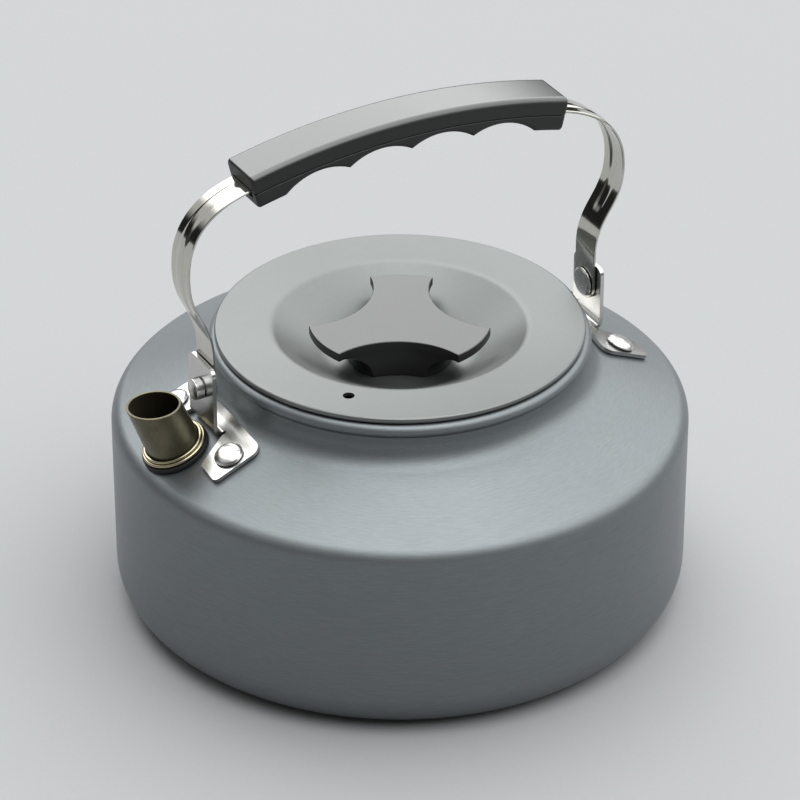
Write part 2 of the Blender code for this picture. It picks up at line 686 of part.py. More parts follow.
def strap_mesh():
    """The strap's middle surface with its pressed rib, from one end to the other."""
    left = [Vector((-p.x, p.y, p.z)) for p in strap_half_path(STRAP_BULGE_LEFT)]
    path = left[:0:-1] + strap_half_path(STRAP_BULGE_RIGHT)
    rib_edge = RIB_WIDTH / STRAP_WIDTH
    across = (-1.0, -rib_edge, -rib_edge / 2, rib_edge / 2, rib_edge, 1.0)
    rib = (0.0, 0.0, 1.0, 1.0, 0.0, 0.0)
    bm = bmesh.new()
    bmesh.ops.create_grid(bm, x_segments=len(path) - 1, y_segments=len(across) - 1, size=1.0)
    for vert in bm.verts:
        i = round((vert.co.x + 1.0) / 2 * (len(path) - 1))
        j = round((vert.co.y + 1.0) / 2 * (len(across) - 1))
        tangent = path[min(i + 1, len(path) - 1)] - path[max(i - 1, 0)]
        normal = Vector((-tangent.z, 0.0, tangent.x)).normalized()
        width = across[j] * strap_half_width(path[i])
        raised = rib[j] * RIB_HEIGHT * rib_share(path[i]) * grip_clear(path[i])
        vert.co = path[i] + Vector((0.0, width, 0.0)) + normal * raised
    mesh = bpy.data.meshes.new("bail_strap")
    bm.to_mesh(mesh)
    bm.free()
    shade_round(mesh)
    return mesh


def grip_clear(point):
    """How much of the rib is left near the grip, where the strap runs flat."""
    edge = GRIP_HALF_LENGTH + STRAP_SHEET
    share = min(max((abs(point.x) - edge) / RIB_FADE, 0.0), 1.0)
    return share if point.z > STRAP_BULGE_Z else 1.0


def build_strap(parts, cutters, mats, axis):
    """The bail's steel strap, holed at its pivots and for the grip's pegs."""
    strap = add_object("bail_strap", strap_mesh(), parts, mats["steel"], axis)
    shell = strap.modifiers.new("Solidify", "SOLIDIFY")
    shell.thickness = STRAP_SHEET
    shell.offset = 0.0
    for side, name in ((1, "right"), (-1, "left")):
        hole = cylinder_cutter("strap_hole_" + name, PIVOT_SHANK + SEAT_GAP,
                               STRAP_X - CUT_MARGIN, STRAP_X + CUT_MARGIN, cutters,
                               pivot_frame(side))
        boolean(strap, hole)
        peg_hole = cylinder_cutter("strap_peg_hole_" + name, PEG_RADIUS + SEAT_GAP, -CUT_MARGIN,
                                   CUT_MARGIN, cutters, peg_frame(side))
        boolean(strap, peg_hole)


def peg_frame(side):
    """A frame square to the strap where a locating peg passes through it."""
    place = on_grip_arc(side * PEG_S, 0.0, 0.0) + Vector((0.0, 0.0, PIVOT_Z))
    turn = Matrix.Rotation(side * PEG_S / GRIP_ARC_RADIUS, 4, "Y")
    return Matrix.Translation(place) @ turn


def grip_section(height, edge):
    """Half of the grip's section: a rounded bar with a channel for the strap."""
    side = GRIP_WIDTH / 2
    joint = SEAT_GAP / 2
    return [
        (-side, joint, 0.0), (-side, height, edge), (side, height, edge), (side, joint, 0.0),
        (CHANNEL_HALF_WIDTH, joint, 0.0), (CHANNEL_HALF_WIDTH, CHANNEL_HALF_HEIGHT, 0.0),
        (-CHANNEL_HALF_WIDTH, CHANNEL_HALF_HEIGHT, 0.0), (-CHANNEL_HALF_WIDTH, joint, 0.0),
    ]


def grip_mesh(name, height, edge, upwards):
    """A grip half, bent along the strap's arc."""
    section = rounded_path(grip_section(height, edge), closed=True)
    mesh = outline_mesh(name, section, -GRIP_HALF_LENGTH, GRIP_HALF_LENGTH)
    cuts = [((0.0, 0.0, GRIP_HALF_LENGTH * (2 * i / GRIP_CUTS - 1)), (0.0, 0.0, 1.0))
            for i in range(1, GRIP_CUTS)]
    way = 1.0 if upwards else -1.0
    remap(mesh, cuts, lambda p: on_grip_arc(p.z * way, p.x, p.y * way))
    return mesh


def build_grip(parts, cutters, mats, axis):
    """The grip's upper cover and its lower half with finger grooves and pegs."""
    upper = add_object("grip_upper", grip_mesh("grip_upper", GRIP_UPPER_HEIGHT, GRIP_TOP_EDGE, True),
                       parts, mats["plastic"], axis)
    lower = add_object("grip_lower", grip_mesh("grip_lower", GRIP_LOWER_HEIGHT, GRIP_BOTTOM_EDGE, False),
                       parts, mats["plastic"], axis)
    groove_lift = -(GRIP_LOWER_HEIGHT - FINGER_DEPTH) - FINGER_RADIUS
    for i in range(FINGER_COUNT):
        along = FINGER_PITCH * (i - (FINGER_COUNT - 1) / 2)
        place = on_grip_arc(along, 0.0, groove_lift) + Vector((0.0, 0.0, PIVOT_Z))
        frame = Matrix.Translation(place) @ Matrix.Rotation(math.pi / 2, 4, "X")
        groove = cylinder_cutter(f"finger_groove_{i + 1}", FINGER_RADIUS, -GRIP_WIDTH, GRIP_WIDTH,
                                 cutters, frame, GROOVE_STEPS)
        boolean(lower, groove)
    for side, name in ((1, "right"), (-1, "left")):
        peg = cylinder_cutter("grip_peg_" + name, PEG_RADIUS, -PEG_ROOT, PEG_HEIGHT,
                              cutters, peg_frame(side))
        boolean(lower, peg, "UNION")
        socket = cylinder_cutter("grip_socket_" + name, PEG_RADIUS + SEAT_GAP, -SEAT_GAP,
                                 PEG_HEIGHT + SEAT_GAP, cutters, peg_frame(side))
        boolean(upper, socket)


def lid_top_corners(hole):
    """Corners of the lid's upper side, from the screw hole out to the flange."""
    top = LID_FLANGE
    floor = top - RECESS_DEPTH
    return [
        (hole, floor, 0.0),
        (RECESS_FLOOR_RADIUS, floor, RECESS_FLOOR_FILLET),
        (RECESS_RADIUS, top, RECESS_EDGE_FILLET),
        (LID_RADIUS, top, LID_EDGE_FILLET),
    ]


def build_lid(parts, cutters, mats, axis):
    """The pressed lid: flange, dished recess, skirt and steam vent."""
    hole = SCREW_RADIUS + SEAT_GAP
    skirt_outer = BEAD_CENTRE_R - BEAD_RADIUS - SKIRT_CLEARANCE
    skirt_inner = skirt_outer - LID_SHEET
    top = lid_top_corners(hole)
    underside = offset_corners(top[:3] + [(skirt_inner, LID_FLANGE, 0.0)], -LID_SHEET)
    rim = [
        (LID_RADIUS, 0.0, LID_EDGE_FILLET),
        (skirt_outer, 0.0, 0.0),
        (skirt_outer, -SKIRT_DEPTH, 0.0),
        (skirt_inner, -SKIRT_DEPTH, 0.0),
    ]
    corners = top + rim + underside[::-1]
    profile = rounded_path(corners)
    shell = turned("lid_shell", profile, parts, mats["lid"], axis, closed=True)
    frame = Matrix.Translation((VENT_CIRCLE * math.cos(VENT_ANGLE), VENT_CIRCLE * math.sin(VENT_ANGLE),
                                LID_SEAT_Z + LID_FLANGE))
    boolean(shell, cylinder_cutter("vent_hole", VENT_RADIUS, -2 * LID_FLANGE, LID_FLANGE, cutters,
                                   frame, VENT_STEPS))


def lobed_outline(inset):
    """The knob's outline: arcs on its outer circle joined by scooped sides."""
    radius = KNOB_RADIUS - inset
    distance = KNOB_WAIST + KNOB_BITE_RADIUS
    bite = KNOB_BITE_RADIUS + inset
    spread = math.acos((radius ** 2 + distance ** 2 - bite ** 2) / (2 * radius * distance))
    lobe = math.pi / KNOB_LOBES - spread
    across = radius * math.sin(spread)
    swing = math.asin(across / bite)
    points = []
    for i in range(KNOB_LOBES):
        middle = KNOB_TURN + 2 * math.pi * i / KNOB_LOBES
        points += arc_points((0.0, 0.0), radius, middle - lobe, middle + lobe)[:-1]
        scoop = middle + math.pi / KNOB_LOBES
        centre = (distance * math.cos(scoop), distance * math.sin(scoop))
        points += arc_points(centre, bite, scoop + math.pi + swing, scoop + math.pi - swing)[:-1]
    return points


def build_knob(parts, cutters, mats, axis):
    """The moulded knob with its threaded insert, screw and washer."""
    floor = LID_FLANGE - RECESS_DEPTH
    foot = floor + SEAT_GAP
    top = floor + KNOB_HEIGHT
    plate_low = top - KNOB_PLATE
    knob = add_object("lid_knob", outline_mesh("lid_knob", lobed_outline(0.0), plate_low, top), parts,
                      mats["plastic"], axis)
    column = add_object("knob_column", outline_mesh("knob_column", lobed_outline(KNOB_LEDGE), foot,
                                                    plate_low + KNOB_SINK), cutters, parent=axis)
    flare_top = KNOB_RADIUS + KNOB_LEDGE
    rise = plate_low - foot
    flare = [(0.0, plate_low + 2 * KNOB_SINK), (flare_top, plate_low + 2 * KNOB_SINK)]
    turns = [math.pi / 2 * (1 - i / FLARE_CUTS) for i in range(FLARE_CUTS + 1)]
    flare += [(KNOB_FOOT_RADIUS + (flare_top - KNOB_FOOT_RADIUS) * (1 - math.cos(turn)),
               foot + rise * math.sin(turn)) for turn in turns]
    flare += [(KNOB_FOOT_RADIUS, foot - SEAT_GAP), (0.0, foot - SEAT_GAP)]
    cone = turned("knob_flare", flare, cutters, parent=axis, steps=FLARE_STEPS)
    boolean(cutter_only(column), cutter_only(cone), "INTERSECT")
    boolean(knob, column, "UNION")

    centre = Matrix.Translation((0.0, 0.0, LID_SEAT_Z))
    pocket = cylinder_cutter("insert_pocket", INSERT_RADIUS + SEAT_GAP, foot - CUT_MARGIN,
                             foot + INSERT_LENGTH + 2 * SEAT_GAP, cutters, centre)
    boolean(knob, pocket)
    low = foot + SEAT_GAP
    bore = SCREW_RADIUS + SEAT_GAP
    turned("knob_insert", ring_profile(bore, INSERT_RADIUS, low, low + INSERT_LENGTH), parts,
           mats["brass"], axis, closed=True, steps=SMALL_STEPS)

    washer_top = floor - LID_SHEET - SEAT_GAP
    washer_low = washer_top - WASHER_THICKNESS
    turned("knob_washer", ring_profile(bore, WASHER_RADIUS, washer_low, washer_top), parts,
           mats["rivet"], axis, closed=True, steps=SMALL_STEPS)
    head_top = washer_low - SEAT_GAP
    head_low = head_top - SCREW_HEAD_HEIGHT
    tip = low + INSERT_LENGTH - SEAT_GAP
    screw = [(0.0, tip), (SCREW_RADIUS, tip), (SCREW_RADIUS, head_top), (SCREW_HEAD_RADIUS, head_top),
             (SCREW_HEAD_RADIUS, head_low + SCREW_CHAMFER),
             (SCREW_HEAD_RADIUS - SCREW_CHAMFER, head_low), (0.0, head_low)]
    turned("knob_screw", screw, parts, mats["rivet"], axis, steps=SMALL_STEPS)


def make_materials():
    """The finishes of the kettle's pieces."""
    return {
        "body": material("hard_anodised_aluminium", (0.26, 0.28, 0.29), 0.42, 0.8),
        "lid": material("hard_anodised_lid", (0.30, 0.32, 0.32), 0.38, 0.8),
        "spout": material("dark_anodised_tube", (0.14, 0.14, 0.11), 0.35, 0.8),
        "collar": material("bright_dipped_collar", (0.42, 0.40, 0.33), 0.3, 1.0),
        "silicone": material("black_silicone", (0.02, 0.02, 0.02), 0.7, 0.0),
        "steel": material("polished_stainless", (0.70, 0.69, 0.67), 0.15, 1.0),
        "rivet": material("stainless_fastener", (0.66, 0.66, 0.65), 0.2, 1.0),
        "plastic": material("satin_black_nylon", (0.02, 0.021, 0.022), 0.35, 0.0),
        "brass": material("brass_insert", (0.66, 0.50, 0.22), 0.3, 1.0),
    }


def main():
    """Build the kettle."""
    clear_scene()
    parts = new_collection("camping_kettle")
    cutters = new_collection("cutters")
    mats = make_materials()
    bail_axis = add_axis("bail_axis", (0.0, 0.0, PIVOT_Z), parts)
    lid_axis = add_axis("lid_axis", (0.0, 0.0, LID_SEAT_Z), parts)
    build_body(parts, cutters, mats["body"])
    build_spout(parts, cutters, mats)
    build_brackets(parts, cutters, mats)
    build_pivots(parts, mats)
    build_strap(parts, cutters, mats, bail_axis)
    build_grip(parts, cutters, mats, bail_axis)
    build_lid(parts, cutters, mats, lid_axis)
    build_knob(parts, cutters, mats, lid_axis)


main()
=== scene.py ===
"""A camping kettle: squat anodised body, short tube spout, pressed lid with a lobed knob, folding bail.

Frame: metres, +Z up, origin at the centre of the base on the floor. The bail stands in the XZ plane
and turns about X, and the spout is on the -X side.
"""
import logging
import math
from dataclasses import dataclass, field
from enum import Enum
from typing import Any, Callable, Sequence

import bmesh
import bpy
from bmesh.types import BMesh, BMVert
from bpy.types import Material, Node, NodeTree, Object
from mathutils import Matrix, Vector
from mathutils.geometry import interpolate_bezier


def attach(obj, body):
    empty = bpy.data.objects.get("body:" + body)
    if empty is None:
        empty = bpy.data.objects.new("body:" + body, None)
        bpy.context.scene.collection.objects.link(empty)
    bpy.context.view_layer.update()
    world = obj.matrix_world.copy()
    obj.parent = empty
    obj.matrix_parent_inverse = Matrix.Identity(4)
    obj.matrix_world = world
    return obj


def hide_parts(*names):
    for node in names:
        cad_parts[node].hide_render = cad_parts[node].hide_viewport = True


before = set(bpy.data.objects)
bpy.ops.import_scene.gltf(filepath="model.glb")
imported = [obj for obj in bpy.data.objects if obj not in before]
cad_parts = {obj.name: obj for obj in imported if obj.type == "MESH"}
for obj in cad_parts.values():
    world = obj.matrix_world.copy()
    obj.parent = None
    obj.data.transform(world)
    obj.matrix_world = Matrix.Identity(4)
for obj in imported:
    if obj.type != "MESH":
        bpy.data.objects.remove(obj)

MM = 0.001
QUARTER = math.pi / 2
LOG = logging.getLogger("kettle")
# Largest turn between two points of an arc, and segments of large and small turned pieces.
FINE_STEP = math.radians(5.0)
ROUND_STEPS = 288
SMALL_STEPS = 72
MERGE = 0.000002
SHARP = 32.0
# Clearance between neighbouring solids, as in the CAD.
GAP = 0.3 * MM
PIVOT_Z = 86.4 * MM
SPOUT_X = -75.5 * MM
# Most of a noise lies between these values.
NOISE_SPAN = {"From Min": 0.3, "From Max": 0.7}

Point = tuple[float, float]
Corner = tuple[float, float, float]


class CadBody(Enum):
    """The three bodies of the kettle that move apart."""

    KETTLE = "kettle"
    BAIL = "bail"
    LID = "lid"


class Side(Enum):
    """A side of the kettle, seen with the spout on the left."""

    LEFT = -1
    RIGHT = 1

    @property
    def word(self) -> str:
        """The side's name in a piece's name."""
        return self.name.lower()


# Profiles


def clamp(value: float, low: float = 0.0, high: float = 1.0) -> float:
    """Keep a value between two others."""
    return min(max(value, low), high)


def up(height: float) -> Vector:
    """A step straight up by a height in metres."""
    return Vector((0.0, 0.0, height))


def arc(centre: Point, radius: float, start: float, end: float) -> list[Point]:
    """Points along an arc.

    Args:
        centre: Centre of the arc.
        radius: Its radius in metres.
        start: Angle of the first point in radians.
        end: Angle of the last point in radians.

    Returns:
        The points, both ends included.
    """
    count = max(3, math.ceil(abs(end - start) / FINE_STEP))
    turns = [start + (end - start) * i / count for i in range(count + 1)]
    return [(centre[0] + radius * math.cos(t), centre[1] + radius * math.sin(t)) for t in turns]


def round_corner(before: Vector, corner: Vector, after: Vector, radius: float) -> list[Point]:
    """Round one corner of a path.

    Args:
        before: The path's point before the corner.
        corner: The corner.
        after: The path's point after it.
        radius: Radius of the rounding in metres; 0 keeps the corner.

    Returns:
        The points that take the corner's place.
    """
    if radius <= 0.0:
        return [(corner.x, corner.y)]
    into = (before - corner).normalized()
    out = (after - corner).normalized()
    half = into.angle(out) / 2
    centre = corner + (into + out).normalized() * (radius / math.sin(half))
    first = corner + into * (radius / math.tan(half)) - centre
    last = corner + out * (radius / math.tan(half)) - centre
    start = math.atan2(first.y, first.x)
    turn = math.atan2(first.x * last.y - first.y * last.x, first.dot(last))
    return arc((centre.x, centre.y), radius, start, start + turn)


def rounded(corners: Sequence[Corner], closed: bool = False) -> list[Point]:
    """Round every corner of a path by its own radius.

    Args:
        corners: The corners as (x, y, radius).
        closed: Whether the path ends where it starts.

    Returns:
        The points of the rounded path.
    """
    points: list[Point] = []
    count = len(corners)
    for i, (x, y, radius) in enumerate(corners):
        if not closed and i in (0, count - 1):
            points.append((x, y))
            continue
        before = Vector(corners[i - 1][:2])
        after = Vector(corners[(i + 1) % count][:2])
        points += round_corner(before, Vector((x, y)), after, radius)
    return points


def offset(corners: Sequence[Corner], distance: float) -> list[Corner]:
    """Move an open path to its left.

    Args:
        corners: The path's corners as (x, y, radius).
        distance: How far to move it in metres.

    Returns:
        The moved corners with radii to match.
    """
    moved: list[Corner] = []
    for i, (x, y, radius) in enumerate(corners):
        here = Vector((x, y))
        into = (here - Vector(corners[i - 1][:2])).normalized() if i else None
        out = (Vector(corners[i + 1][:2]) - here).normalized() if i < len(corners) - 1 else into
        into = into or out
        normal = Vector((-into.y - out.y, into.x + out.x)).normalized()
        place = here + normal * (distance / normal.dot(Vector((-into.y, into.x))))
        left = into.x * out.y - into.y * out.x > 0.0
        moved.append((place.x, place.y, radius - distance if left else radius + distance))
    return moved


def supported(points: Sequence[Point], reach: float = 0.3 * MM, closed: bool = False) -> list[Point]:
    """Add points close to both ends of each long straight, so that flats shade flat.

    Args:
        points: The path.
        reach: Distance of the new points from a straight's ends in metres.
        closed: Whether the path ends where it starts.

    Returns:
        The path with its new points.
    """
    result: list[Point] = []
    ends = list(points[1:]) + ([points[0]] if closed else [])
    for here, there in zip(points, ends):
        result.append(here)
        a, b = Vector(here), Vector(there)
        if (b - a).length > 4 * reach:
            step = (b - a).normalized() * reach
            result += [tuple(a + step), tuple(b - step)]
    if not closed:
        result.append(points[-1])
    return result


# Meshes


def spun(profile: Sequence[Point], closed: bool = False, steps: int = SMALL_STEPS) -> BMesh:
    """Turn a profile about Z.

    Args:
        profile: Points as (radius, height).
        closed: Whether the profile is a closed loop.
        steps: How many segments the turned piece has.

    Returns:
        The turned mesh.
    """
    bm = bmesh.new()
    verts = [bm.verts.new((x, 0.0, z)) for x, z in profile]
    pairs = list(zip(verts, verts[1:] + verts[:1])) if closed else list(zip(verts, verts[1:]))
    edges = [bm.edges.new(pair) for pair in pairs]
    bmesh.ops.spin(bm, geom=verts + edges, axis=(0.0, 0.0, 1.0), cent=(0.0, 0.0, 0.0),
                   angle=math.tau, steps=steps, use_merge=True)
    bmesh.ops.remove_doubles(bm, verts=bm.verts, dist=MERGE)
    bmesh.ops.recalc_face_normals(bm, faces=bm.faces)
    return bm


def lofted(place: Callable[[int, int], Vector], along: int, around: int, caps: bool = True) -> BMesh:
    """Make a closed bar out of rings.

    Args:
        place: Gives the point of ring i and place j round it.
        along: Number of rings.
        around: Number of points round each ring.
        caps: Whether both ends are closed.

    Returns:
        The lofted mesh.
    """
    bm = bmesh.new()
    bmesh.ops.create_grid(bm, x_segments=along - 1, y_segments=around, size=1.0)
    for vert in bm.verts:
        i = round((vert.co.x + 1.0) / 2 * (along - 1))
        j = round((vert.co.y + 1.0) / 2 * around)
        vert.co = place(i, j % around)
    bmesh.ops.remove_doubles(bm, verts=bm.verts, dist=MERGE)
    if caps:
        bmesh.ops.holes_fill(bm, edges=[e for e in bm.edges if e.is_boundary])
    bmesh.ops.recalc_face_normals(bm, faces=bm.faces)
    return bm


def new_object(name: str, bm: BMesh) -> Object:
    """Put a mesh into the scene.

    Args:
        name: The object's name.
        bm: Its mesh; it is freed.

    Returns:
        The object.
    """
    mesh = bpy.data.meshes.new(name)
    bm.to_mesh(mesh)
    bm.free()
    item = bpy.data.objects.new(name, mesh)
    bpy.context.scene.collection.objects.link(item)
    return item


def shade(mesh: bpy.types.Mesh, sharp: float = SHARP) -> None:
    """Shade a mesh smooth, apart from edges past an angle in degrees."""
    mesh.shade_smooth()
    mesh.set_sharp_from_angle(angle=math.radians(sharp))


@dataclass
class Assembly:
    """A group of pieces that one class builds and dresses."""

    def add(self, name: str, bm: BMesh, look: Material, body: CadBody, slot: str, nodes: Sequence[str],
            sharp: float = SHARP) -> Object:
        """Make a piece out of a mesh, dress it and tie it to its body.

        Args:
            name: The piece's name.
            bm: Its mesh, already in place; it is freed.
            look: Its material.
            body: The body it moves with.
            slot: The record's material slot; not used.
            nodes: The CAD nodes that it stands for.
            sharp: Edges past this angle in degrees stay sharp.

        Returns:
            The piece.
        """
        piece = new_object(name, bm)
        shade(piece.data, sharp)
        piece.data.materials.append(look)
        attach(piece, body.value)
        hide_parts(*nodes)
        LOG.info("%s: %d faces", name, len(piece.data.polygons))
        return piece

    @staticmethod
    def bore(piece: Object, radius: float, low: float, high: float, place: Matrix) -> None:
        """Bore a round hole through a piece.

        Args:
            piece: The piece.
            radius: The hole's radius in metres.
            low: Where the drill starts along the frame's Z.
            high: Where it ends.
            place: The frame that the drill stands in.
        """
        bm = bmesh.new()
        bmesh.ops.create_cone(bm, cap_ends=True, segments=SMALL_STEPS, radius1=radius, radius2=radius,
                              depth=high - low, matrix=place @ Matrix.Translation(up((low + high) / 2)))
        drill = new_object("drill", bm)
        cut = piece.modifiers.new("Bore", "BOOLEAN")
        cut.operation = "DIFFERENCE"
        cut.solver = "EXACT"
        cut.object = drill
        bpy.context.view_layer.update()
        bored = bpy.data.meshes.new_from_object(piece.evaluated_get(bpy.context.evaluated_depsgraph_get()))
        piece.modifiers.clear()
        name, spare = piece.data.name, (piece.data, drill.data)
        piece.data = bored
        bpy.data.objects.remove(drill, do_unlink=True)
        for mesh in spare:
            bpy.data.meshes.remove(mesh)
        bored.name = name
        shade(bored)


# Finishes


def linear(colour: str) -> tuple[float, float, float, float]:
    """Turn an sRGB hex colour into linear values.

    Args:
        colour: The colour as "#rrggbb".

    Returns:
        Linear red, green and blue, and an alpha of 1.
    """
    parts = [int(colour[i:i + 2], 16) / 255 for i in (1, 3, 5)]
    red, green, blue = [p / 12.92 if p <= 0.04045 else ((p + 0.055) / 1.055) ** 2.4 for p in parts]
    return (red, green, blue, 1.0)


def add_node(tree: NodeTree, kind: str, inputs: dict[str | int, Any] | None = None, **settings: Any) -> Node:
    """Add a shader node with its settings, values and links.

    Args:
        tree: The node tree.
        kind: The node's type, without ShaderNode in front.
        inputs: For each input a value, an output to link, or a node whose first output is linked.
        settings: The node's properties.

    Returns:
        The node.
    """
    node = tree.nodes.new(f"ShaderNode{kind}")
    for key, value in settings.items():
        setattr(node, key, value)
    for key, value in (inputs or {}).items():
        if isinstance(value, Node):
            value = value.outputs[0]
        if isinstance(value, bpy.types.NodeSocket):
            tree.links.new(value, node.inputs[key])
        else:
            node.inputs[key].default_value = value
    return node


class Grain(Enum):
    """How a surface's marks are drawn out along X, Y and Z, where less than 1 is longer.

    Turned marks are rings about the standing axis instead.
    """

    TURNED = None
    DRAWN = (1.0, 1.0, 0.04)
    ROLLED = (0.05, 1.0, 0.05)
    MOULDED = (1.0, 1.0, 1.0)


@dataclass(frozen=True)
class Finish:
    """A real material and how its surface was made.

    Attributes:
        name: The material's name.
        colour: Its usual colour in sRGB.
        shade: The colour of its darker patches in sRGB.
        metallic: The metallic value.
        roughness: The roughness of most of it.
        spread: How far the roughness goes up and down over the surface.
        grain: The direction of its marks.
        pitch: Distance between marks in metres.
        depth: Height of the marks in metres.
        patch: Size of its patches in metres.
        brushed: How much the shine is drawn out across the marks.
        ior: Index of refraction.
        coat: Weight of the glossy skin on it.
        streaks: How much of the darker colour the marks bring; the patches bring the rest.
        run: How many marks follow each other over one radian of a turned surface.
        flanks: Roughness of the faces that don't look up, which have no skin; 0 where they are all alike.
        looking_up: Between which heights of its normal a face starts to look up.
    """

    name: str
    colour: str
    shade: str
    metallic: float
    roughness: float
    spread: float
    grain: Grain
    pitch: float
    depth: float
    patch: float
    brushed: float = 0.0
    ior: float = 1.5
    coat: float = 0.0
    streaks: float = 0.4
    run: float = 30.0
    flanks: float = 0.0
    looking_up: tuple[float, float] = (0.4, 0.85)

    def vector(self, tree: NodeTree) -> Node:
        """Coordinates in units of the marks' pitch, long along the marks.

        Args:
            tree: The material's node tree.

        Returns:
            The node that gives the vector to read noise at.
        """
        place = add_node(tree, "TexCoord").outputs["Object"]
        if self.grain is not Grain.TURNED:
            scale = tuple(s / self.pitch for s in self.grain.value)
            return add_node(tree, "VectorMath", {0: place, 1: scale}, operation="MULTIPLY")
        axes = add_node(tree, "SeparateXYZ", {0: place}).outputs
        flat = add_node(tree, "VectorMath", {0: place, 1: (1.0, 1.0, 0.0)}, operation="MULTIPLY")
        radius = add_node(tree, "VectorMath", {0: flat}, operation="LENGTH").outputs["Value"]
        angle = add_node(tree, "Math", {0: axes[1], 1: axes[0]}, operation="ARCTAN2")
        around = add_node(tree, "Math", {0: angle, 1: self.run * self.pitch}, operation="MULTIPLY")
        rings = add_node(tree, "CombineXYZ", {0: radius, 1: axes[2], 2: around})
        return add_node(tree, "VectorMath", {0: rings, "Scale": 1.0 / self.pitch}, operation="SCALE")

    def make(self) -> Material:
        """Build the material.

        Returns:
            The material with its nodes.
        """
        mat = bpy.data.materials.new(self.name)
        mat.use_nodes = True
        tree = mat.node_tree
        tree.nodes.clear()
        marks = add_node(tree, "TexNoise", {
            "Vector": self.vector(tree), "Scale": 1.0, "Detail": 3.0, "Roughness": 0.6})
        place = add_node(tree, "TexCoord").outputs["Object"]
        cloud = add_node(tree, "TexNoise", {
            "Vector": place, "Scale": 1.0 / self.patch, "Detail": 4.0, "Roughness": 0.55})
        colour = add_node(tree, "Mix", {
            0: self.mixed(tree, marks, cloud), 6: linear(self.colour), 7: linear(self.shade)}, data_type="RGBA")
        shine = add_node(tree, "MapRange", {
            "Value": cloud, **NOISE_SPAN,
            "To Min": self.roughness - self.spread, "To Max": self.roughness + self.spread})
        bump = add_node(tree, "Bump", {"Height": marks, "Distance": self.depth, "Strength": 1.0})
        coat = self.coat
        if self.flanks:
            turn = add_node(tree, "TexCoord").outputs["Normal"]
            upward = add_node(tree, "MapRange", {
                "Value": add_node(tree, "SeparateXYZ", {0: turn}).outputs[2],
                "From Min": self.looking_up[0], "From Max": self.looking_up[1]}, interpolation_type="SMOOTHSTEP")
            shine = add_node(tree, "Mix", {0: upward, 2: self.flanks, 3: shine}, data_type="FLOAT")
            coat = add_node(tree, "Math", {0: upward, 1: coat}, operation="MULTIPLY")
        inputs = {"Base Color": colour.outputs[2], "Metallic": self.metallic, "Roughness": shine,
                  "Normal": bump, "IOR": self.ior, "Coat Weight": coat, "Coat Roughness": 0.15}
        if self.brushed:
            inputs |= {"Anisotropic": self.brushed, "Anisotropic Rotation": 0.25,
                       "Tangent": add_node(tree, "Tangent", direction_type="RADIAL", axis="Z")}
        add_node(tree, "OutputMaterial", {"Surface": add_node(tree, "BsdfPrincipled", inputs)})
        return mat

    def mixed(self, tree: NodeTree, marks: Node, cloud: Node) -> Node:
        """How much of the darker colour shows: patches, finely broken by the marks.

        Args:
            tree: The material's node tree.
            marks: The marks' noise.
            cloud: The patches' noise.

        Returns:
            The node that gives a value from 0 to 1.
        """
        patches, streaks = [
            add_node(tree, "MapRange", {"Value": noise, **NOISE_SPAN, "To Min": 0.0, "To Max": most})
            for noise, most in ((cloud, 1.0 - self.streaks), (marks, self.streaks))]
        return add_node(tree, "Math", {0: patches, 1: streaks}, operation="ADD")


# Grey oxide film on spun aluminium: fine rings, satin, a trace of blue.
BODY_FINISH = Finish("hard_anodised_spun_aluminium", "#7c8183", "#707577", 0.9, 0.44, 0.01,
                     Grain.TURNED, 0.24 * MM, 0.004 * MM, 30.0 * MM, 0.5, streaks=0.9, run=22.0)
# The same film on pressed sheet: smoother, with hardly any rings.
LID_FINISH = Finish("hard_anodised_pressed_aluminium", "#767978", "#717473", 0.9, 0.38, 0.01,
                    Grain.TURNED, 0.4 * MM, 0.005 * MM, 30.0 * MM, 0.4, streaks=0.7, run=16.0)
# Dark olive film on drawn tube: faint lines along the tube.
SPOUT_FINISH = Finish("dark_anodised_drawn_tube", "#736f5b", "#565345", 0.9, 0.38, 0.03,
                      Grain.DRAWN, 0.3 * MM, 0.004 * MM, 6.0 * MM)
# Bright dipped ring with a pale brassy cast.
COLLAR_FINISH = Finish("bright_dipped_turned_aluminium", "#b8b199", "#9d957a", 1.0, 0.18, 0.03,
                       Grain.TURNED, 0.15 * MM, 0.001 * MM, 5.0 * MM)
# Matt black silicone rubber.
GASKET_FINISH = Finish("moulded_silicone_rubber", "#161616", "#101010", 0.0, 0.62, 0.05,
                       Grain.MOULDED, 0.3 * MM, 0.01 * MM, 4.0 * MM)
# Stainless strip, buffed: mirror-like with faint lines along it.
STRAP_FINISH = Finish("buffed_stainless_strip", "#c8c7c1", "#b3b1a8", 1.0, 0.11, 0.02,
                      Grain.ROLLED, 0.25 * MM, 0.0003 * MM, 9.0 * MM, streaks=0.8)
# Stainless sheet, tumbled after blanking: bright, softly uneven.
BRACKET_FINISH = Finish("tumbled_stainless_sheet", "#c8c7c5", "#bcbbb8", 1.0, 0.23, 0.02,
                        Grain.MOULDED, 1.6 * MM, 0.0006 * MM, 7.0 * MM)
# Headed rivets: bright and smooth.
RIVET_FINISH = Finish("headed_stainless_rivet", "#cfcfcd", "#c4c4c1", 1.0, 0.28, 0.02,
                      Grain.MOULDED, 1.6 * MM, 0.0005 * MM, 4.0 * MM)
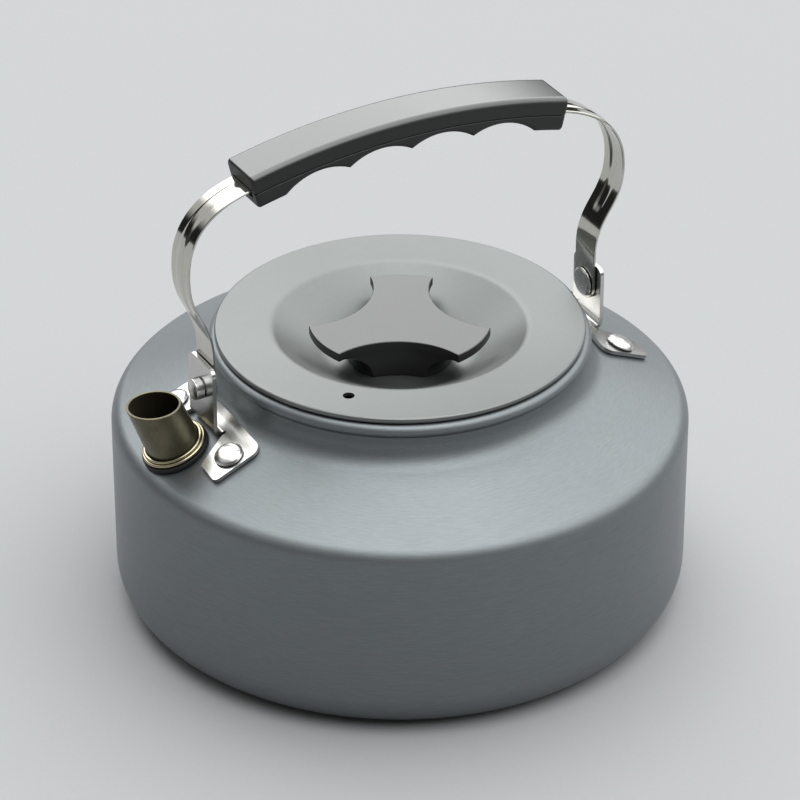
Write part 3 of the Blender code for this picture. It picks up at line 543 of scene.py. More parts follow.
# Black nylon of the knob and of the grip: silvery sheen on the polished upper faces, near-black
# spark-eroded flanks.
KNOB_FINISH = Finish("moulded_black_nylon", "#080807", "#050504", 0.0, 0.2, 0.02,
                     Grain.MOULDED, 0.22 * MM, 0.003 * MM, 9.0 * MM, ior=1.53, coat=0.6, flanks=0.5)
GRIP_FINISH = Finish("moulded_black_nylon_grip", "#08090a", "#050606", 0.0, 0.18, 0.02,
                     Grain.MOULDED, 0.22 * MM, 0.003 * MM, 12.0 * MM, ior=1.55, coat=1.0, flanks=0.5)
# Machined brass with turned marks.
INSERT_FINISH = Finish("machined_brass", "#b5924c", "#9a7a3c", 1.0, 0.28, 0.05,
                       Grain.TURNED, 0.2 * MM, 0.006 * MM, 3.0 * MM)
# Plain stainless of a bought screw and washer.
SCREW_FINISH = Finish("turned_stainless_screw", "#c4c2be", "#a9a7a2", 1.0, 0.24, 0.05,
                      Grain.TURNED, 0.2 * MM, 0.005 * MM, 3.0 * MM)


# Body


@dataclass
class Body(Assembly):
    """The spun body: base, wall, shoulder, neck and the bead rolled at its mouth."""

    radius: float = 87.5 * MM
    wall: float = 1.2 * MM
    base_fillet: float = 12.8 * MM
    edge_z: float = 62.45 * MM
    edge_fillet: float = 5.5 * MM
    slope: float = math.radians(24.4)
    neck_radius: float = 56.6 * MM
    neck_fillet: float = 8.0 * MM
    bead_radius: float = 2.1 * MM
    neck_height: float = 11.0 * MM
    spout_hole: float = 8.55 * MM
    spout_drill: Point = (-4.0 * MM, 3.0 * MM)

    @property
    def rise(self) -> float:
        """Rise of the shoulder over its reach."""
        return math.tan(self.slope)

    @property
    def neck_z(self) -> float:
        """Height where the shoulder's line meets the neck."""
        return self.edge_z + (self.radius - self.neck_radius) * self.rise

    @property
    def bead_r(self) -> float:
        """Radius of the bead's centre circle."""
        return self.neck_radius - self.wall

    @property
    def top_z(self) -> float:
        """Height of the bead's top."""
        return self.neck_z + self.neck_height

    def corners(self) -> list[Corner]:
        """Corners of the outer side from the base's centre up to the bead.

        Returns:
            The corners as (radius, height, rounding).
        """
        bead_z = self.top_z - self.bead_radius
        neck_top = bead_z - math.sqrt(self.bead_radius ** 2 - (self.neck_radius - self.bead_r) ** 2)
        return [
            (0.0, 0.0, 0.0),
            (self.radius, 0.0, self.base_fillet),
            (self.radius, self.edge_z, self.edge_fillet),
            (self.neck_radius, self.neck_z, self.neck_fillet),
            (self.neck_radius, neck_top, 0.0),
        ]

    def surface(self, radius: float) -> tuple[float, float]:
        """The shoulder's outer side at a radius.

        Args:
            radius: Distance from the axis in metres.

        Returns:
            Its height and its outward slope in radians.
        """
        arc_r = self.neck_radius + self.neck_fillet
        arc_z = self.neck_z + self.neck_fillet * math.tan((QUARTER - self.slope) / 2)
        reach = arc_r - radius
        if reach > self.neck_fillet * math.sin(self.slope):
            drop = math.sqrt(max(self.neck_fillet ** 2 - reach ** 2, 0.0))
            return arc_z - drop, math.asin(min(reach / self.neck_fillet, 1.0))
        return self.edge_z + (self.radius - radius) * self.rise, self.slope

    def frame_at(self, x: float, y: float) -> Matrix:
        """A frame on the shoulder.

        Args:
            x: Place along X in metres.
            y: Place along Y.

        Returns:
            The frame, with Z along the shoulder's outward normal.
        """
        radius = math.hypot(x, y)
        height, slope = self.surface(radius)
        turn = Matrix.Rotation(math.atan2(y, x), 4, "Z")
        return turn @ Matrix.Translation((radius, 0.0, height)) @ Matrix.Rotation(slope, 4, "Y")

    def build(self) -> None:
        """Build the body with the hole that the spout passes through."""
        outer = self.corners()
        inner = offset(outer, self.wall)
        bead_z = self.top_z - self.bead_radius
        inner[-1] = (self.bead_r, bead_z - self.bead_radius, 0.0)
        meets = -math.tau - math.acos((self.neck_radius - self.bead_r) / self.bead_radius)
        bead = arc((self.bead_r, bead_z), self.bead_radius, -QUARTER, meets)
        profile = rounded(inner)[:-1] + bead + rounded(outer)[-2::-1]
        bm = spun(supported(profile), steps=ROUND_STEPS)
        piece = self.add("kettle_shell", bm, BODY_FINISH.make(), CadBody.KETTLE, "body", ["kettle_body"])
        self.bore(piece, self.spout_hole, *self.spout_drill, self.frame_at(SPOUT_X, 0.0))


# Spout


@dataclass
class Spout(Assembly):
    """The tube on the shoulder with its two-bead collar and the gasket under it."""

    body: Body
    radius: float = 7.85 * MM
    root_radius: float = 8.25 * MM
    wall: float = 0.8 * MM
    length: float = 18.3 * MM
    upright: float = math.radians(2.3)
    mouth_lean: float = math.radians(3.0)
    flange_radius: float = 10.2 * MM
    flange: float = 1.0 * MM
    collar_radius: float = 10.0 * MM
    gasket_radius: float = 10.35 * MM
    gasket: float = 0.6 * MM
    gasket_edge: float = 0.2 * MM
    lip: float = 0.22 * MM
    mouth_length: float = 2.0 * MM
    lower_bead: float = 1.0 * MM
    upper_bead: float = 0.85 * MM
    bead_step: float = 0.7 * MM

    def place(self) -> Matrix:
        """The spout's frame.

        Returns:
            The shoulder's frame, turned a little towards upright.
        """
        return self.body.frame_at(SPOUT_X, 0.0) @ Matrix.Rotation(-self.upright, 4, "Y")

    def build(self) -> None:
        """Build the tube, the collar and the gasket."""
        self.build_tube()
        rise = self.gasket_radius * math.sin(self.upright)
        self.build_gasket(rise)
        self.build_collar(rise + 2 * GAP + self.gasket)

    def build_tube(self) -> None:
        """The tube with its inner flange, cut off nearly level at the mouth."""
        inside = -self.body.wall - GAP - self.flange_radius * math.sin(self.upright)
        foot = inside - self.flange
        bore = self.root_radius - self.wall
        even = self.length - self.mouth_length
        mouth = rounded([(self.radius - self.wall, even, 0.0), (self.radius - self.wall, self.length, self.lip),
                         (self.radius, self.length, self.lip), (self.radius, even, 0.0)])
        profile = [(bore, foot), (bore, 0.0)] + mouth + [
            (self.root_radius, 0.0), (self.root_radius, inside),
            (self.flange_radius, inside), (self.flange_radius, foot)]
        bm = spun(supported(profile, closed=True), closed=True)
        level = self.place().to_3x3().inverted() @ Matrix.Rotation(-self.mouth_lean, 3, "Y") @ up(1.0)
        for vert in bm.verts:
            tilt = -(level.x * vert.co.x + level.y * vert.co.y) / level.z
            vert.co.z += tilt * clamp(vert.co.z / even)
        bm.transform(self.place())
        self.add("spout_tube_drawn", bm, SPOUT_FINISH.make(), CadBody.KETTLE, "spout", ["spout_tube"])

    def build_gasket(self, rise: float) -> None:
        """The wedge of rubber that seals the collar on the sloping shoulder.

        Args:
            rise: How much the wedge grows over half its width in metres.
        """
        low, high = -rise - GAP, rise + GAP + self.gasket
        edge = self.gasket_edge
        section = rounded([
            (self.root_radius + GAP, low, 0.0), (self.gasket_radius, low, edge),
            (self.gasket_radius, high, edge), (self.root_radius + GAP, high, 0.0)], closed=True)
        bm = spun(section, closed=True)
        seat = self.body.frame_at(SPOUT_X, 0.0)
        bm.transform(seat.inverted() @ self.place())
        middle = (low + high) / 2
        for vert in bm.verts:
            if vert.co.z < middle:
                vert.co.z = max(vert.co.z, GAP)
        bm.transform(seat)
        self.add("spout_seal", bm, GASKET_FINISH.make(), CadBody.KETTLE, "gasket", ["spout_gasket"])

    def build_collar(self, low: float) -> None:
        """The collar: a lower bead with a smaller one above it.

        Args:
            low: Height of its underside in the spout's frame in metres.
        """
        lower, upper = self.lower_bead, self.upper_bead
        top = low + lower + upper
        above = arc((self.collar_radius - self.bead_step - upper / 2, top - upper / 2), upper / 2,
                    QUARTER, -QUARTER)
        below = arc((self.collar_radius - lower / 2, low + lower / 2), lower / 2, QUARTER, -QUARTER)
        bore = self.root_radius + GAP
        bm = spun([(bore, top)] + above + below + [(bore, low)], closed=True)
        bm.transform(self.place())
        self.add("spout_ring", bm, COLLAR_FINISH.make(), CadBody.KETTLE, "collar", ["spout_collar"])


# Brackets


@dataclass
class Bracket(Assembly):
    """A folded steel bracket: a foot with two pads and an upright ear."""

    body: Body
    side: Side
    above_pivot: float
    sheet: float = 1.2 * MM
    ear_x: float = 66.8 * MM
    width: float = 15.8 * MM
    corner: float = 2.4 * MM
    bend: float = 1.5 * MM
    inward: float = 8.5 * MM
    outward: float = 7.0 * MM
    half_foot: float = 22.6 * MM
    pad_inner: float = 14.0 * MM
    slit: float = 1.2 * MM
    rivet_x: float = 66.3 * MM
    rivet_y: float = 17.6 * MM
    pad_rounds: tuple[float, float, float] = (3.0 * MM, 1.5 * MM, 1.0 * MM)
    slit_rounds: Point = (0.3 * MM, 0.5 * MM)
    bend_cuts: int = 14
    foot_cuts: int = 12
    foot_step: float = 1.2 * MM
    side_cuts: int = 18
    tumbled: float = 0.22 * MM
    tumbled_past: float = math.radians(50.0)

    @property
    def mean(self) -> float:
        """Radius of the bend at the sheet's middle."""
        return self.bend + self.sheet / 2

    @property
    def bend_x(self) -> float:
        """Where the foot ends and the bend begins."""
        return self.ear_x - self.sheet / 2 - self.mean * (1.0 + math.sin(self.body.slope))

    @property
    def bend_length(self) -> float:
        """Length of the bend along the sheet's middle."""
        return self.mean * (QUARTER + self.body.slope)

    def blank(self) -> list[Point]:
        """Outline of the flat blank.

        Returns:
            The outline's points.
        """
        neck_z = self.body.frame_at(self.bend_x, 0.0).translation.z
        tip = self.bend_x + self.bend_length + PIVOT_Z + self.above_pivot - neck_z - self.mean
        half = self.width / 2
        cut = half + self.slit
        inner, outer, back = self.pad_rounds
        mouth, end = self.slit_rounds
        near = [
            (self.ear_x - self.inward, self.half_foot, inner),
            (self.ear_x + self.outward, self.half_foot, outer),
            (self.ear_x + self.outward, self.pad_inner, back),
            (self.bend_x + self.slit, cut, mouth),
            (self.bend_x - self.slit / 2, cut, end),
            (self.bend_x - self.slit / 2, half, end),
            (tip, half, self.corner),
        ]
        far = [(x, -y, radius) for x, y, radius in reversed(near)]
        return rounded(near + far, closed=True)

    def fold(self, point: Vector) -> Vector:
        """Fold a point of the blank into place on the +X side.

        Args:
            point: The point on the flat blank, with its height in the sheet as Z.

        Returns:
            Its place on the kettle.
        """
        lift = GAP + self.sheet / 2
        past = point.x - self.bend_x
        if past <= 0.0 or abs(point.y) > self.width / 2 + 0.01 * MM:
            return self.body.frame_at(point.x, point.y) @ up(lift + point.z)
        centre = self.body.frame_at(self.bend_x, point.y) @ up(lift + self.mean)
        radius = self.mean - point.z
        turn = min(past / self.mean, QUARTER + self.body.slope)
        angle = -QUARTER - self.body.slope + turn
        rise = max(past - self.bend_length, 0.0)
        middle = self.ear_x - self.sheet / 2 - self.mean
        return Vector((middle + radius * math.cos(angle), point.y,
                       centre.z + radius * math.sin(angle) + rise))

    def build(self) -> None:
        """Build the folded sheet with softened edges."""
        bm = bmesh.new()
        half = self.sheet / 2
        face = bm.faces.new([bm.verts.new((x, y, -half)) for x, y in self.blank()])
        raised = bmesh.ops.extrude_face_region(bm, geom=[face], use_keep_orig=True)["geom"]
        bmesh.ops.translate(bm, vec=(0.0, 0.0, self.sheet),
                            verts=[v for v in raised if isinstance(v, BMVert)])
        bends = [self.bend_x + self.bend_length * i / self.bend_cuts for i in range(self.bend_cuts + 1)]
        foot = [self.ear_x - self.inward + self.foot_step * i for i in range(1, self.foot_cuts + 1)]
        across = [self.half_foot * i / self.side_cuts for i in range(1 - self.side_cuts, self.side_cuts)]
        planes = [((x, 0.0, 0.0), (1.0, 0.0, 0.0)) for x in bends + foot]
        planes += [((0.0, y, 0.0), (0.0, 1.0, 0.0)) for y in across]
        for place, normal in planes:
            bmesh.ops.bisect_plane(bm, geom=bm.verts[:] + bm.edges[:] + bm.faces[:], dist=MERGE,
                                   plane_co=place, plane_no=normal)
        for vert in bm.verts:
            vert.co = self.fold(vert.co)
        if self.side is Side.LEFT:
            bmesh.ops.rotate(bm, cent=(0.0, 0.0, 0.0), matrix=Matrix.Rotation(math.pi, 3, "Z"), verts=bm.verts)
        bmesh.ops.recalc_face_normals(bm, faces=bm.faces)
        word = self.side.word
        piece = self.add(f"bracket_{word}_folded", bm, BRACKET_FINISH.make(), CadBody.KETTLE,
                         "bracket", [f"bracket_{word}"], sharp=40.0)
        edge = piece.modifiers.new("Tumbled edges", "BEVEL")
        edge.width = self.tumbled
        edge.segments = 3
        edge.limit_method = "ANGLE"
        edge.angle_limit = self.tumbled_past
        edge.harden_normals = True


@dataclass
class Rivets(Assembly):
    """The foot rivets on the pads and the pivot rivets that the bail turns on."""

    body: Body
    bracket: Bracket
    head: float = 4.3 * MM
    crown: float = 1.7 * MM
    shank: float = 2.0 * MM
    pivot_head: float = 3.3 * MM
    pivot_height: float = 3.1 * MM
    inner_head: float = 4.6 * MM
    inner_height: float = 0.8 * MM
    strap_inner_x: float = 64.5 * MM
    pin: float = 2.2 * MM
    tail_radius: float = 3.4 * MM
    tail_height: float = 1.3 * MM

    def foot_profile(self) -> list[Point]:
        """Outer side of a foot rivet, from its crown down to its tail.

        Returns:
            The profile as (radius, height) in the shoulder's frame.
        """
        seat = 2 * GAP + self.bracket.sheet
        top = seat + self.crown
        step = 0.3 * MM
        head = [
            (0.0, top, 0.0),
            (self.head - 2.4 * step, top - 0.3 * MM, 3.0 * MM),
            (self.head - step, top - 0.8 * MM, 0.3 * MM),
            (self.head - step, top - 1.1 * MM, 0.08 * MM),
            (self.head, top - 1.15 * MM, 0.12 * MM),
            (self.head, seat, 0.1 * MM),
            (self.shank, seat, 0.0),
        ]
        tail = -self.body.wall - GAP
        end = tail - self.tail_height
        return rounded(head) + rounded([
            (self.shank, tail, 0.0), (self.tail_radius, tail, 0.2 * MM), (self.tail_radius, end, 0.3 * MM),
            (0.0, end, 0.0)])

    def pivot_profile(self) -> list[Point]:
        """A pivot rivet along the hinge axis, from its outer head to its flat inner head.

        Returns:
            The profile as (radius, distance from the middle plane).
        """
        outer = self.bracket.ear_x + GAP
        end = outer + self.pivot_height
        inner = self.strap_inner_x - GAP
        low = inner - self.inner_height
        return rounded([
            (0.0, end, 0.0), (self.pivot_head * 0.7, end - 0.25 * MM, 6.0 * MM),
            (self.pivot_head, end - 0.62 * MM, 0.4 * MM), (self.pivot_head, outer, 0.1 * MM),
            (self.pin, outer, 0.0), (self.pin, inner, 0.0), (self.inner_head, inner, 0.1 * MM),
            (self.inner_head, inner - 0.3 * MM, 0.2 * MM), (self.inner_head - 0.55 * MM, low, 0.25 * MM),
            (0.0, low, 0.0)])

    def build(self) -> None:
        """Build all six rivets."""
        look = RIVET_FINISH.make()
        for count, (side, way) in enumerate([(side, way) for side in Side for way in (-1, 1)], 1):
            bm = spun(supported(self.foot_profile()))
            bm.transform(self.body.frame_at(side.value * self.bracket.rivet_x, way * self.bracket.rivet_y))
            self.add(f"foot_rivet_{count}_headed", bm, look, CadBody.KETTLE, "rivet", [f"foot_rivet_{count}"])
        for side in Side:
            bm = spun(supported(self.pivot_profile()))
            bm.transform(Matrix.Translation(up(PIVOT_Z)) @ Matrix.Rotation(side.value * QUARTER, 4, "Y"))
            self.add(f"pivot_rivet_{side.word}_headed", bm, look, CadBody.KETTLE, "rivet",
                     [f"pivot_rivet_{side.word}"])


# Bail


@dataclass
class Bail(Assembly):
    """The strap with its pressed rib, and the grip in two halves round it."""

    strap_x: float = 64.9 * MM
    width: float = 10.8 * MM
    sheet: float = 0.8 * MM
    straight: float = 10.9 * MM
    bulge: dict[Side, float] = field(default_factory=lambda: {Side.LEFT: 7.3 * MM, Side.RIGHT: 9.4 * MM})
    bulge_z: float = 39.8 * MM
    lower_handle: float = 14.0 * MM
    upper_handle: float = 13.0 * MM
    rib_height: float = 0.3 * MM
    rib_width: float = 4.4 * MM
    rib_start: float = 22.4 * MM
    rib_fade: float = 3.0 * MM
    centre_z: float = 69.9 * MM
    bend_radius: float = 215.0 * MM
    half_length: float = 52.2 * MM
    grip_width: float = 16.4 * MM
    upper_height: float = 5.3 * MM
    lower_height: float = 5.1 * MM
    finger_pitch: float = 21.0 * MM
    finger_radius: float = 18.8 * MM
    finger_depth: float = 3.2 * MM
    fingers: int = 4
    strap_edge: float = 0.16 * MM
    strap_end: float = math.radians(88.0)
    upper_edge: float = 2.0 * MM
    lower_edge: float = 1.5 * MM
    end_edge: float = 0.9 * MM
    joint_lip: float = 0.04 * MM
    end_wall: float = 2.2 * MM
    end_channel: float = 2.3 * MM
    end_span: float = 2.8 * MM
    # Distances of the first and last rings from the grip's ends in millimetres.
    end_rings: tuple[float, ...] = (0.0, 0.02, 0.08, 0.2, 0.36, 0.6, 0.9, 1.3, 2.0, 2.4)
    middle_rings: int = 300

    def on_arc(self, along: float, across: float, lift: float) -> Vector:
        """A point of the bent grip.

        Args:
            along: Place along its arc in metres.
            across: Place across it.
            lift: Height above the strap's middle.

        Returns:
            The point in the kettle's frame.
        """
        angle = along / self.bend_radius
        radius = self.bend_radius + lift
        return Vector((radius * math.sin(angle), across,
                       PIVOT_Z + self.centre_z - self.bend_radius + radius * math.cos(angle)))

    def half_path(self, side: Side) -> list[Vector]:
        """Middle of the strap from the grip's end down to one pivot, seen on the +X side.

        Args:
            side: Which side's bulge to take.

        Returns:
            The path's points, starting inside the grip.
        """
        end = self.half_length + self.sheet
        low = up(PIVOT_Z)
        path = [self.on_arc(end * i / 24, 0.0, 0.0) for i in range(25)]
        slope = end / self.bend_radius
        bulge = low + Vector((self.strap_x + self.bulge[side], 0.0, self.bulge_z))
        crease = low + Vector((self.strap_x, 0.0, self.straight))
        away = path[-1] + Vector((math.cos(slope), 0.0, -math.sin(slope))) * self.upper_handle
        path += interpolate_bezier(path[-1], away, bulge + up(self.upper_handle),
                                   bulge, 36)[1:]
        path += interpolate_bezier(bulge, bulge - up(self.lower_handle),
                                   crease + up(self.lower_handle), crease, 40)[1:]
        path += [low + Vector((self.strap_x, 0.0, self.straight * (1 - i / 6))) for i in range(1, 7)]
        turns = [self.strap_end * i / 16 for i in range(1, 17)]
        path += [low + Vector((self.strap_x, 0.0, -self.width / 2 * math.sin(t))) for t in turns]
        return path

    def rib(self, point: Vector, across: float) -> float:
        """Height of the pressed rib at a point of the strap.

        Args:
            point: The point on the strap's middle line.
            across: Distance from that line in metres.

        Returns:
            The rib's height in metres.
        """
        low = (point.z - PIVOT_Z - self.rib_start) / self.rib_fade
        rise = clamp(low)
        if point.z - PIVOT_Z > self.bulge_z:
            end = (abs(point.x) - self.half_length - self.sheet) / self.rib_fade
            rise = min(rise, clamp(end))
        flank = clamp((self.rib_width / 2 - abs(across)) / (self.rib_width / 4))
        smooth = flank * flank * (3.0 - 2.0 * flank)
        return self.rib_height * rise * rise * (3.0 - 2.0 * rise) * smooth

    def build_strap(self) -> None:
        """The strap from one pivot to the other."""
        left = [Vector((-p.x, p.y, p.z)) for p in self.half_path(Side.LEFT)]
        path = left[:0:-1] + self.half_path(Side.RIGHT)
        half = self.sheet / 2
        places = [i / 28 * 2 - 1 for i in range(29)]
        rim = [(1.0, t) for t in (0.55, -0.55)]
        section = [(s, 1.0) for s in places] + rim + [(s, -1.0) for s in reversed(places)]
        section += [(-s, -t) for s, t in rim]

        def place(i: int, j: int) -> Vector:
            """A point of the strap's surface.

            Args:
                i: The ring along the strap.
                j: The place round the ring.

            Returns:
                The point in the kettle's frame.
            """
            here = path[i]
            ahead = path[min(i + 1, len(path) - 1)] - path[max(i - 1, 0)]
            normal = Vector((-ahead.z, 0.0, ahead.x)).normalized()
            reach = self.width / 2
            if here.z < PIVOT_Z:
                reach = math.sqrt(max(reach ** 2 - (PIVOT_Z - here.z) ** 2, 0.0))
            across, lift = section[j]
            inset = self.strap_edge if abs(across) == 1.0 and abs(lift) == 1.0 else 0.0
            width = across * max(reach - inset, 0.02 * MM)
            return here + Vector((0.0, width, 0.0)) + normal * (lift * half + self.rib(here, width))

        bm = lofted(place, len(path), len(section))
        self.add("bail_strap_buffed", bm, STRAP_FINISH.make(), CadBody.BAIL, "strap", ["bail_strap"])

    def groove(self, along: float) -> float:
        """Height of the lower half under the strap's middle at a place along the grip.

        Args:
            along: Place along the grip's arc in metres.

        Returns:
            The height in metres, less in the finger grooves.
        """
        centre_r = self.bend_radius - (self.lower_height - self.finger_depth) - self.finger_radius
        height = self.lower_height
        for i in range(self.fingers):
            turn = (along - self.finger_pitch * (i - (self.fingers - 1) / 2)) / self.bend_radius
            across = centre_r * math.sin(turn)
            if abs(across) < self.finger_radius:
                reach = centre_r * math.cos(turn) + math.sqrt(self.finger_radius ** 2 - across ** 2)
                height = min(height, self.bend_radius - reach)
        return height

    def grip_section(self, height: float, edge: float, inset: float, channel: float) -> list[Point]:
        """Section of a grip half, with the joint at the bottom.

        Args:
            height: Height above the strap's middle in metres.
            edge: Radius of its two outer edges.
            inset: How far the outer faces are drawn in.
            channel: Depth of the strap's channel.

        Returns:
            The section's points, always as many.
        """
        side = self.grip_width / 2 - inset
        high = height - inset
        joint = GAP / 2
        lip = self.joint_lip
        room = self.width / 2 + GAP
        points = [(-side + lip, joint), (-side, joint + lip)]
        for way in (-1, 1):
            centre = (way * (side - edge), high - edge)
            start = math.pi if way < 0 else QUARTER
            points += [(centre[0] + edge * math.cos(start - QUARTER * i / 10),
                        centre[1] + edge * math.sin(start - QUARTER * i / 10)) for i in range(11)]
            if way < 0:
                points += [(side * t, high) for t in (-0.74, -0.4, 0.0, 0.4, 0.74)]
        points += [(side, joint + lip), (side - lip, joint), (room, joint), (room, channel),
                   (-room, channel), (-room, joint)]
        return points

    def build_half(self, upper: bool) -> None:
        """One half of the grip.

        Args:
            upper: Whether it is the cover above the strap.
        """
        edge = self.upper_edge if upper else self.lower_edge
        end = self.end_edge
        count = self.middle_rings
        span = self.half_length - self.end_span
        stations = [-self.half_length + d * MM for d in self.end_rings]
        stations += [-span + 2 * span * i / count for i in range(count + 1)]
        stations += [self.half_length - d * MM for d in reversed(self.end_rings)]
        way = 1.0 if upper else -1.0
        rings = []
        for along in stations:
            left = self.half_length - abs(along)
            inset = end - math.sqrt(max(end ** 2 - (end - left) ** 2, 0.0)) if left < end else 0.0
            height = self.upper_height if upper else self.groove(along)
            channel = self.sheet / 2 + GAP
            if not upper and left < self.end_wall:
                channel = self.end_channel
            rings.append(self.grip_section(height, edge, inset, channel))

        def place(i: int, j: int) -> Vector:
            """A point of the grip's surface.

            Args:
                i: The ring along the grip.
                j: The place round the ring.

            Returns:
                The point in the kettle's frame.
            """
            across, lift = rings[i][j]
            return self.on_arc(stations[i], across, lift * way)

        bm = lofted(place, len(stations), len(rings[0]))
        word = "upper" if upper else "lower"
        self.add(f"grip_{word}_moulded", bm, GRIP_FINISH.make(), CadBody.BAIL, "grip", [f"grip_{word}"])

    def build(self) -> None:
        """Build the strap and both halves of the grip."""
        self.build_strap()
        self.build_half(True)
        self.build_half(False)


# Lid and knob


@dataclass
class Lid(Assembly):
    """The pressed lid with its dished recess, skirt and steam vent."""

    body: Body
    radius: float = 55.8 * MM
    sheet: float = 1.1 * MM
    flange: float = 1.8 * MM
    edge: float = 0.8 * MM
    skirt_clearance: float = 0.5 * MM
    skirt_depth: float = 6.5 * MM
    recess_radius: float = 38.7 * MM
    recess_depth: float = 10.7 * MM
    floor_radius: float = 21.0 * MM
    recess_edge: float = 4.0 * MM
    floor_edge: float = 14.0 * MM
    vent_radius: float = 1.75 * MM
    vent_circle: float = 45.0 * MM
    vent_angle: float = math.radians(-138.4)
    screw_hole: float = 2.2 * MM
    skirt_edge: float = 0.3 * MM

    @property
    def seat_z(self) -> float:
        """Height of the flange's underside."""
        return self.body.top_z + GAP

    @property
    def floor_z(self) -> float:
        """Height of the recess's floor."""
        return self.seat_z + self.flange - self.recess_depth

    def build(self) -> None:
        """Build the shell and bore its vent."""
        top = self.flange
        floor = top - self.recess_depth
        outer_skirt = self.body.bead_r - self.body.bead_radius - self.skirt_clearance
        inner_skirt = outer_skirt - self.sheet
        upper = [(self.screw_hole, floor, 0.0), (self.floor_radius, floor, self.floor_edge),
                 (self.recess_radius, top, self.recess_edge), (self.radius, top, self.edge)]
        under = offset(upper[:3] + [(inner_skirt, top, 0.0)], -self.sheet)
        low, edge = -self.skirt_depth, self.skirt_edge
        rim = [(self.radius, 0.0, self.edge), (outer_skirt, 0.0, edge), (outer_skirt, low, edge),
               (inner_skirt, low, edge)]
        profile = supported(rounded(upper + rim + under[::-1]), closed=True)
        bm = spun(profile, closed=True, steps=ROUND_STEPS)
        bm.transform(Matrix.Translation(up(self.seat_z)))
        piece = self.add("lid_pressed", bm, LID_FINISH.make(), CadBody.LID, "lid", ["lid_shell"])
        place = Matrix.Translation((self.vent_circle * math.cos(self.vent_angle),
                                    self.vent_circle * math.sin(self.vent_angle), self.seat_z + top))
        self.bore(piece, self.vent_radius, -2 * self.flange, self.flange, place)


@dataclass
class Knob(Assembly):
    """The moulded knob with three lobes on a flared foot, and its hidden fastening."""

    lid: Lid
    radius: float = 27.5 * MM
    height: float = 12.0 * MM
    plate: float = 2.8 * MM
    waist: float = 13.5 * MM
    bite: float = 24.0 * MM
    lobes: int = 3
    turn: float = math.pi
    ledge: float = 0.6 * MM
    foot_radius: float = 16.0 * MM
    pocket: float = 3.5 * MM
    pocket_depth: float = 7.1 * MM
    top_edge: float = 0.35 * MM
    under_edge: float = 0.3 * MM
    flat_rings: Point = (0.3 * MM, 3.0 * MM)
    lobe_steps: int = 14
    scoop_steps: int = 18
    flare_steps: int = 20
    edge_steps: int = 5

    def outline(self, inset: float) -> list[Vector]:
        """The knob's outline, always with as many points.

        Args:
            inset: How far it is drawn in, in metres.

        Returns:
            The outline's points.
        """
        radius = self.radius - inset
        distance = self.waist + self.bite
        bite = self.bite + inset
        spread = math.acos((radius ** 2 + distance ** 2 - bite ** 2) / (2 * radius * distance))
        lobe = math.pi / self.lobes - spread
        swing = math.asin(radius * math.sin(spread) / bite)
        points = []
        for i in range(self.lobes):
            middle = self.turn + math.tau * i / self.lobes
            points += [Vector((radius * math.cos(middle + lobe * t), radius * math.sin(middle + lobe * t)))
                       for t in (k / self.lobe_steps - 1.0 for k in range(2 * self.lobe_steps))]
            scoop = middle + math.pi / self.lobes
            centre = Vector((distance * math.cos(scoop), distance * math.sin(scoop)))
            turns = [scoop + math.pi + swing * (1.0 - k / self.scoop_steps) for k in range(2 * self.scoop_steps)]
            points += [centre + Vector((bite * math.cos(t), bite * math.sin(t))) for t in turns]
        return points

    def build(self) -> None:
        """Build the knob out of rings from its pocket, down its foot and up to its top."""
        foot = self.lid.floor_z + GAP
        top = self.lid.floor_z + self.height
        low = top - self.plate
        column = self.outline(self.ledge)
        flare_top = self.radius + self.ledge
        rise = low - foot
        span = flare_top - self.foot_radius

        rings: list[list[Vector]] = []
        pocket_top = foot + self.pocket_depth
        for radius, z in ((0.0, pocket_top), (self.pocket, pocket_top), (self.pocket, foot)):
            rings.append([(p.normalized() * radius).to_3d() + up(z) for p in column])
        for share in [k / self.flare_steps for k in range(self.flare_steps + 1)]:
            ring = []
            for p in column:
                reach = p.length
                past = max(reach - self.foot_radius, 0.0)
                most = math.acos(clamp(1.0 - past / span, -1.0))
                turn = most * share
                here = min(self.foot_radius + span * (1.0 - math.cos(turn)), reach)
                ring.append(Vector((*(p.normalized() * here), foot + rise * math.sin(turn))))
            rings.append(ring)
        last = rings[-1]
        for share in (0.25, 0.5, 0.75, 1.0):
            rings.append([Vector((*p, a.z + (low - a.z) * share)) for p, a in zip(column, last)])
        for inset, z in self.plate_rings(low, top):
            rings.append([Vector((*p, z)) for p in self.outline(inset)])
        rings.append([up(top) for _ in column])
        bm = lofted(lambda i, j: rings[i][j], len(rings), len(column), caps=False)
        self.add("lid_knob_moulded", bm, KNOB_FINISH.make(), CadBody.LID, "knob", ["lid_knob"], sharp=28.0)
        for name, finish in (("knob_insert", INSERT_FINISH), ("knob_washer", SCREW_FINISH),
                             ("knob_screw", SCREW_FINISH)):
            look = finish.make()
            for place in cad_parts[name].material_slots:
                place.material = look
            LOG.info("%s: dressed as %s", name, finish.name)

    def plate_rings(self, low: float, top: float) -> list[Point]:
        """The plate's section from under its lip to its top face.

        Args:
            low: Height of the plate's underside in metres.
            top: Height of its top.

        Returns:
            Pairs of inset and height.
        """
        edge, under = self.top_edge, self.under_edge
        quarter = [QUARTER * k / self.edge_steps for k in range(self.edge_steps + 1)]
        rings = [(under * (1 - math.sin(t)), low + under * (1 - math.cos(t))) for t in quarter]
        rings += [(edge * (1 - math.cos(t)), top - edge * (1 - math.sin(t))) for t in quarter]
        return rings + [(edge + self.flat_rings[0], top), (self.flat_rings[1], top)]


# Studio


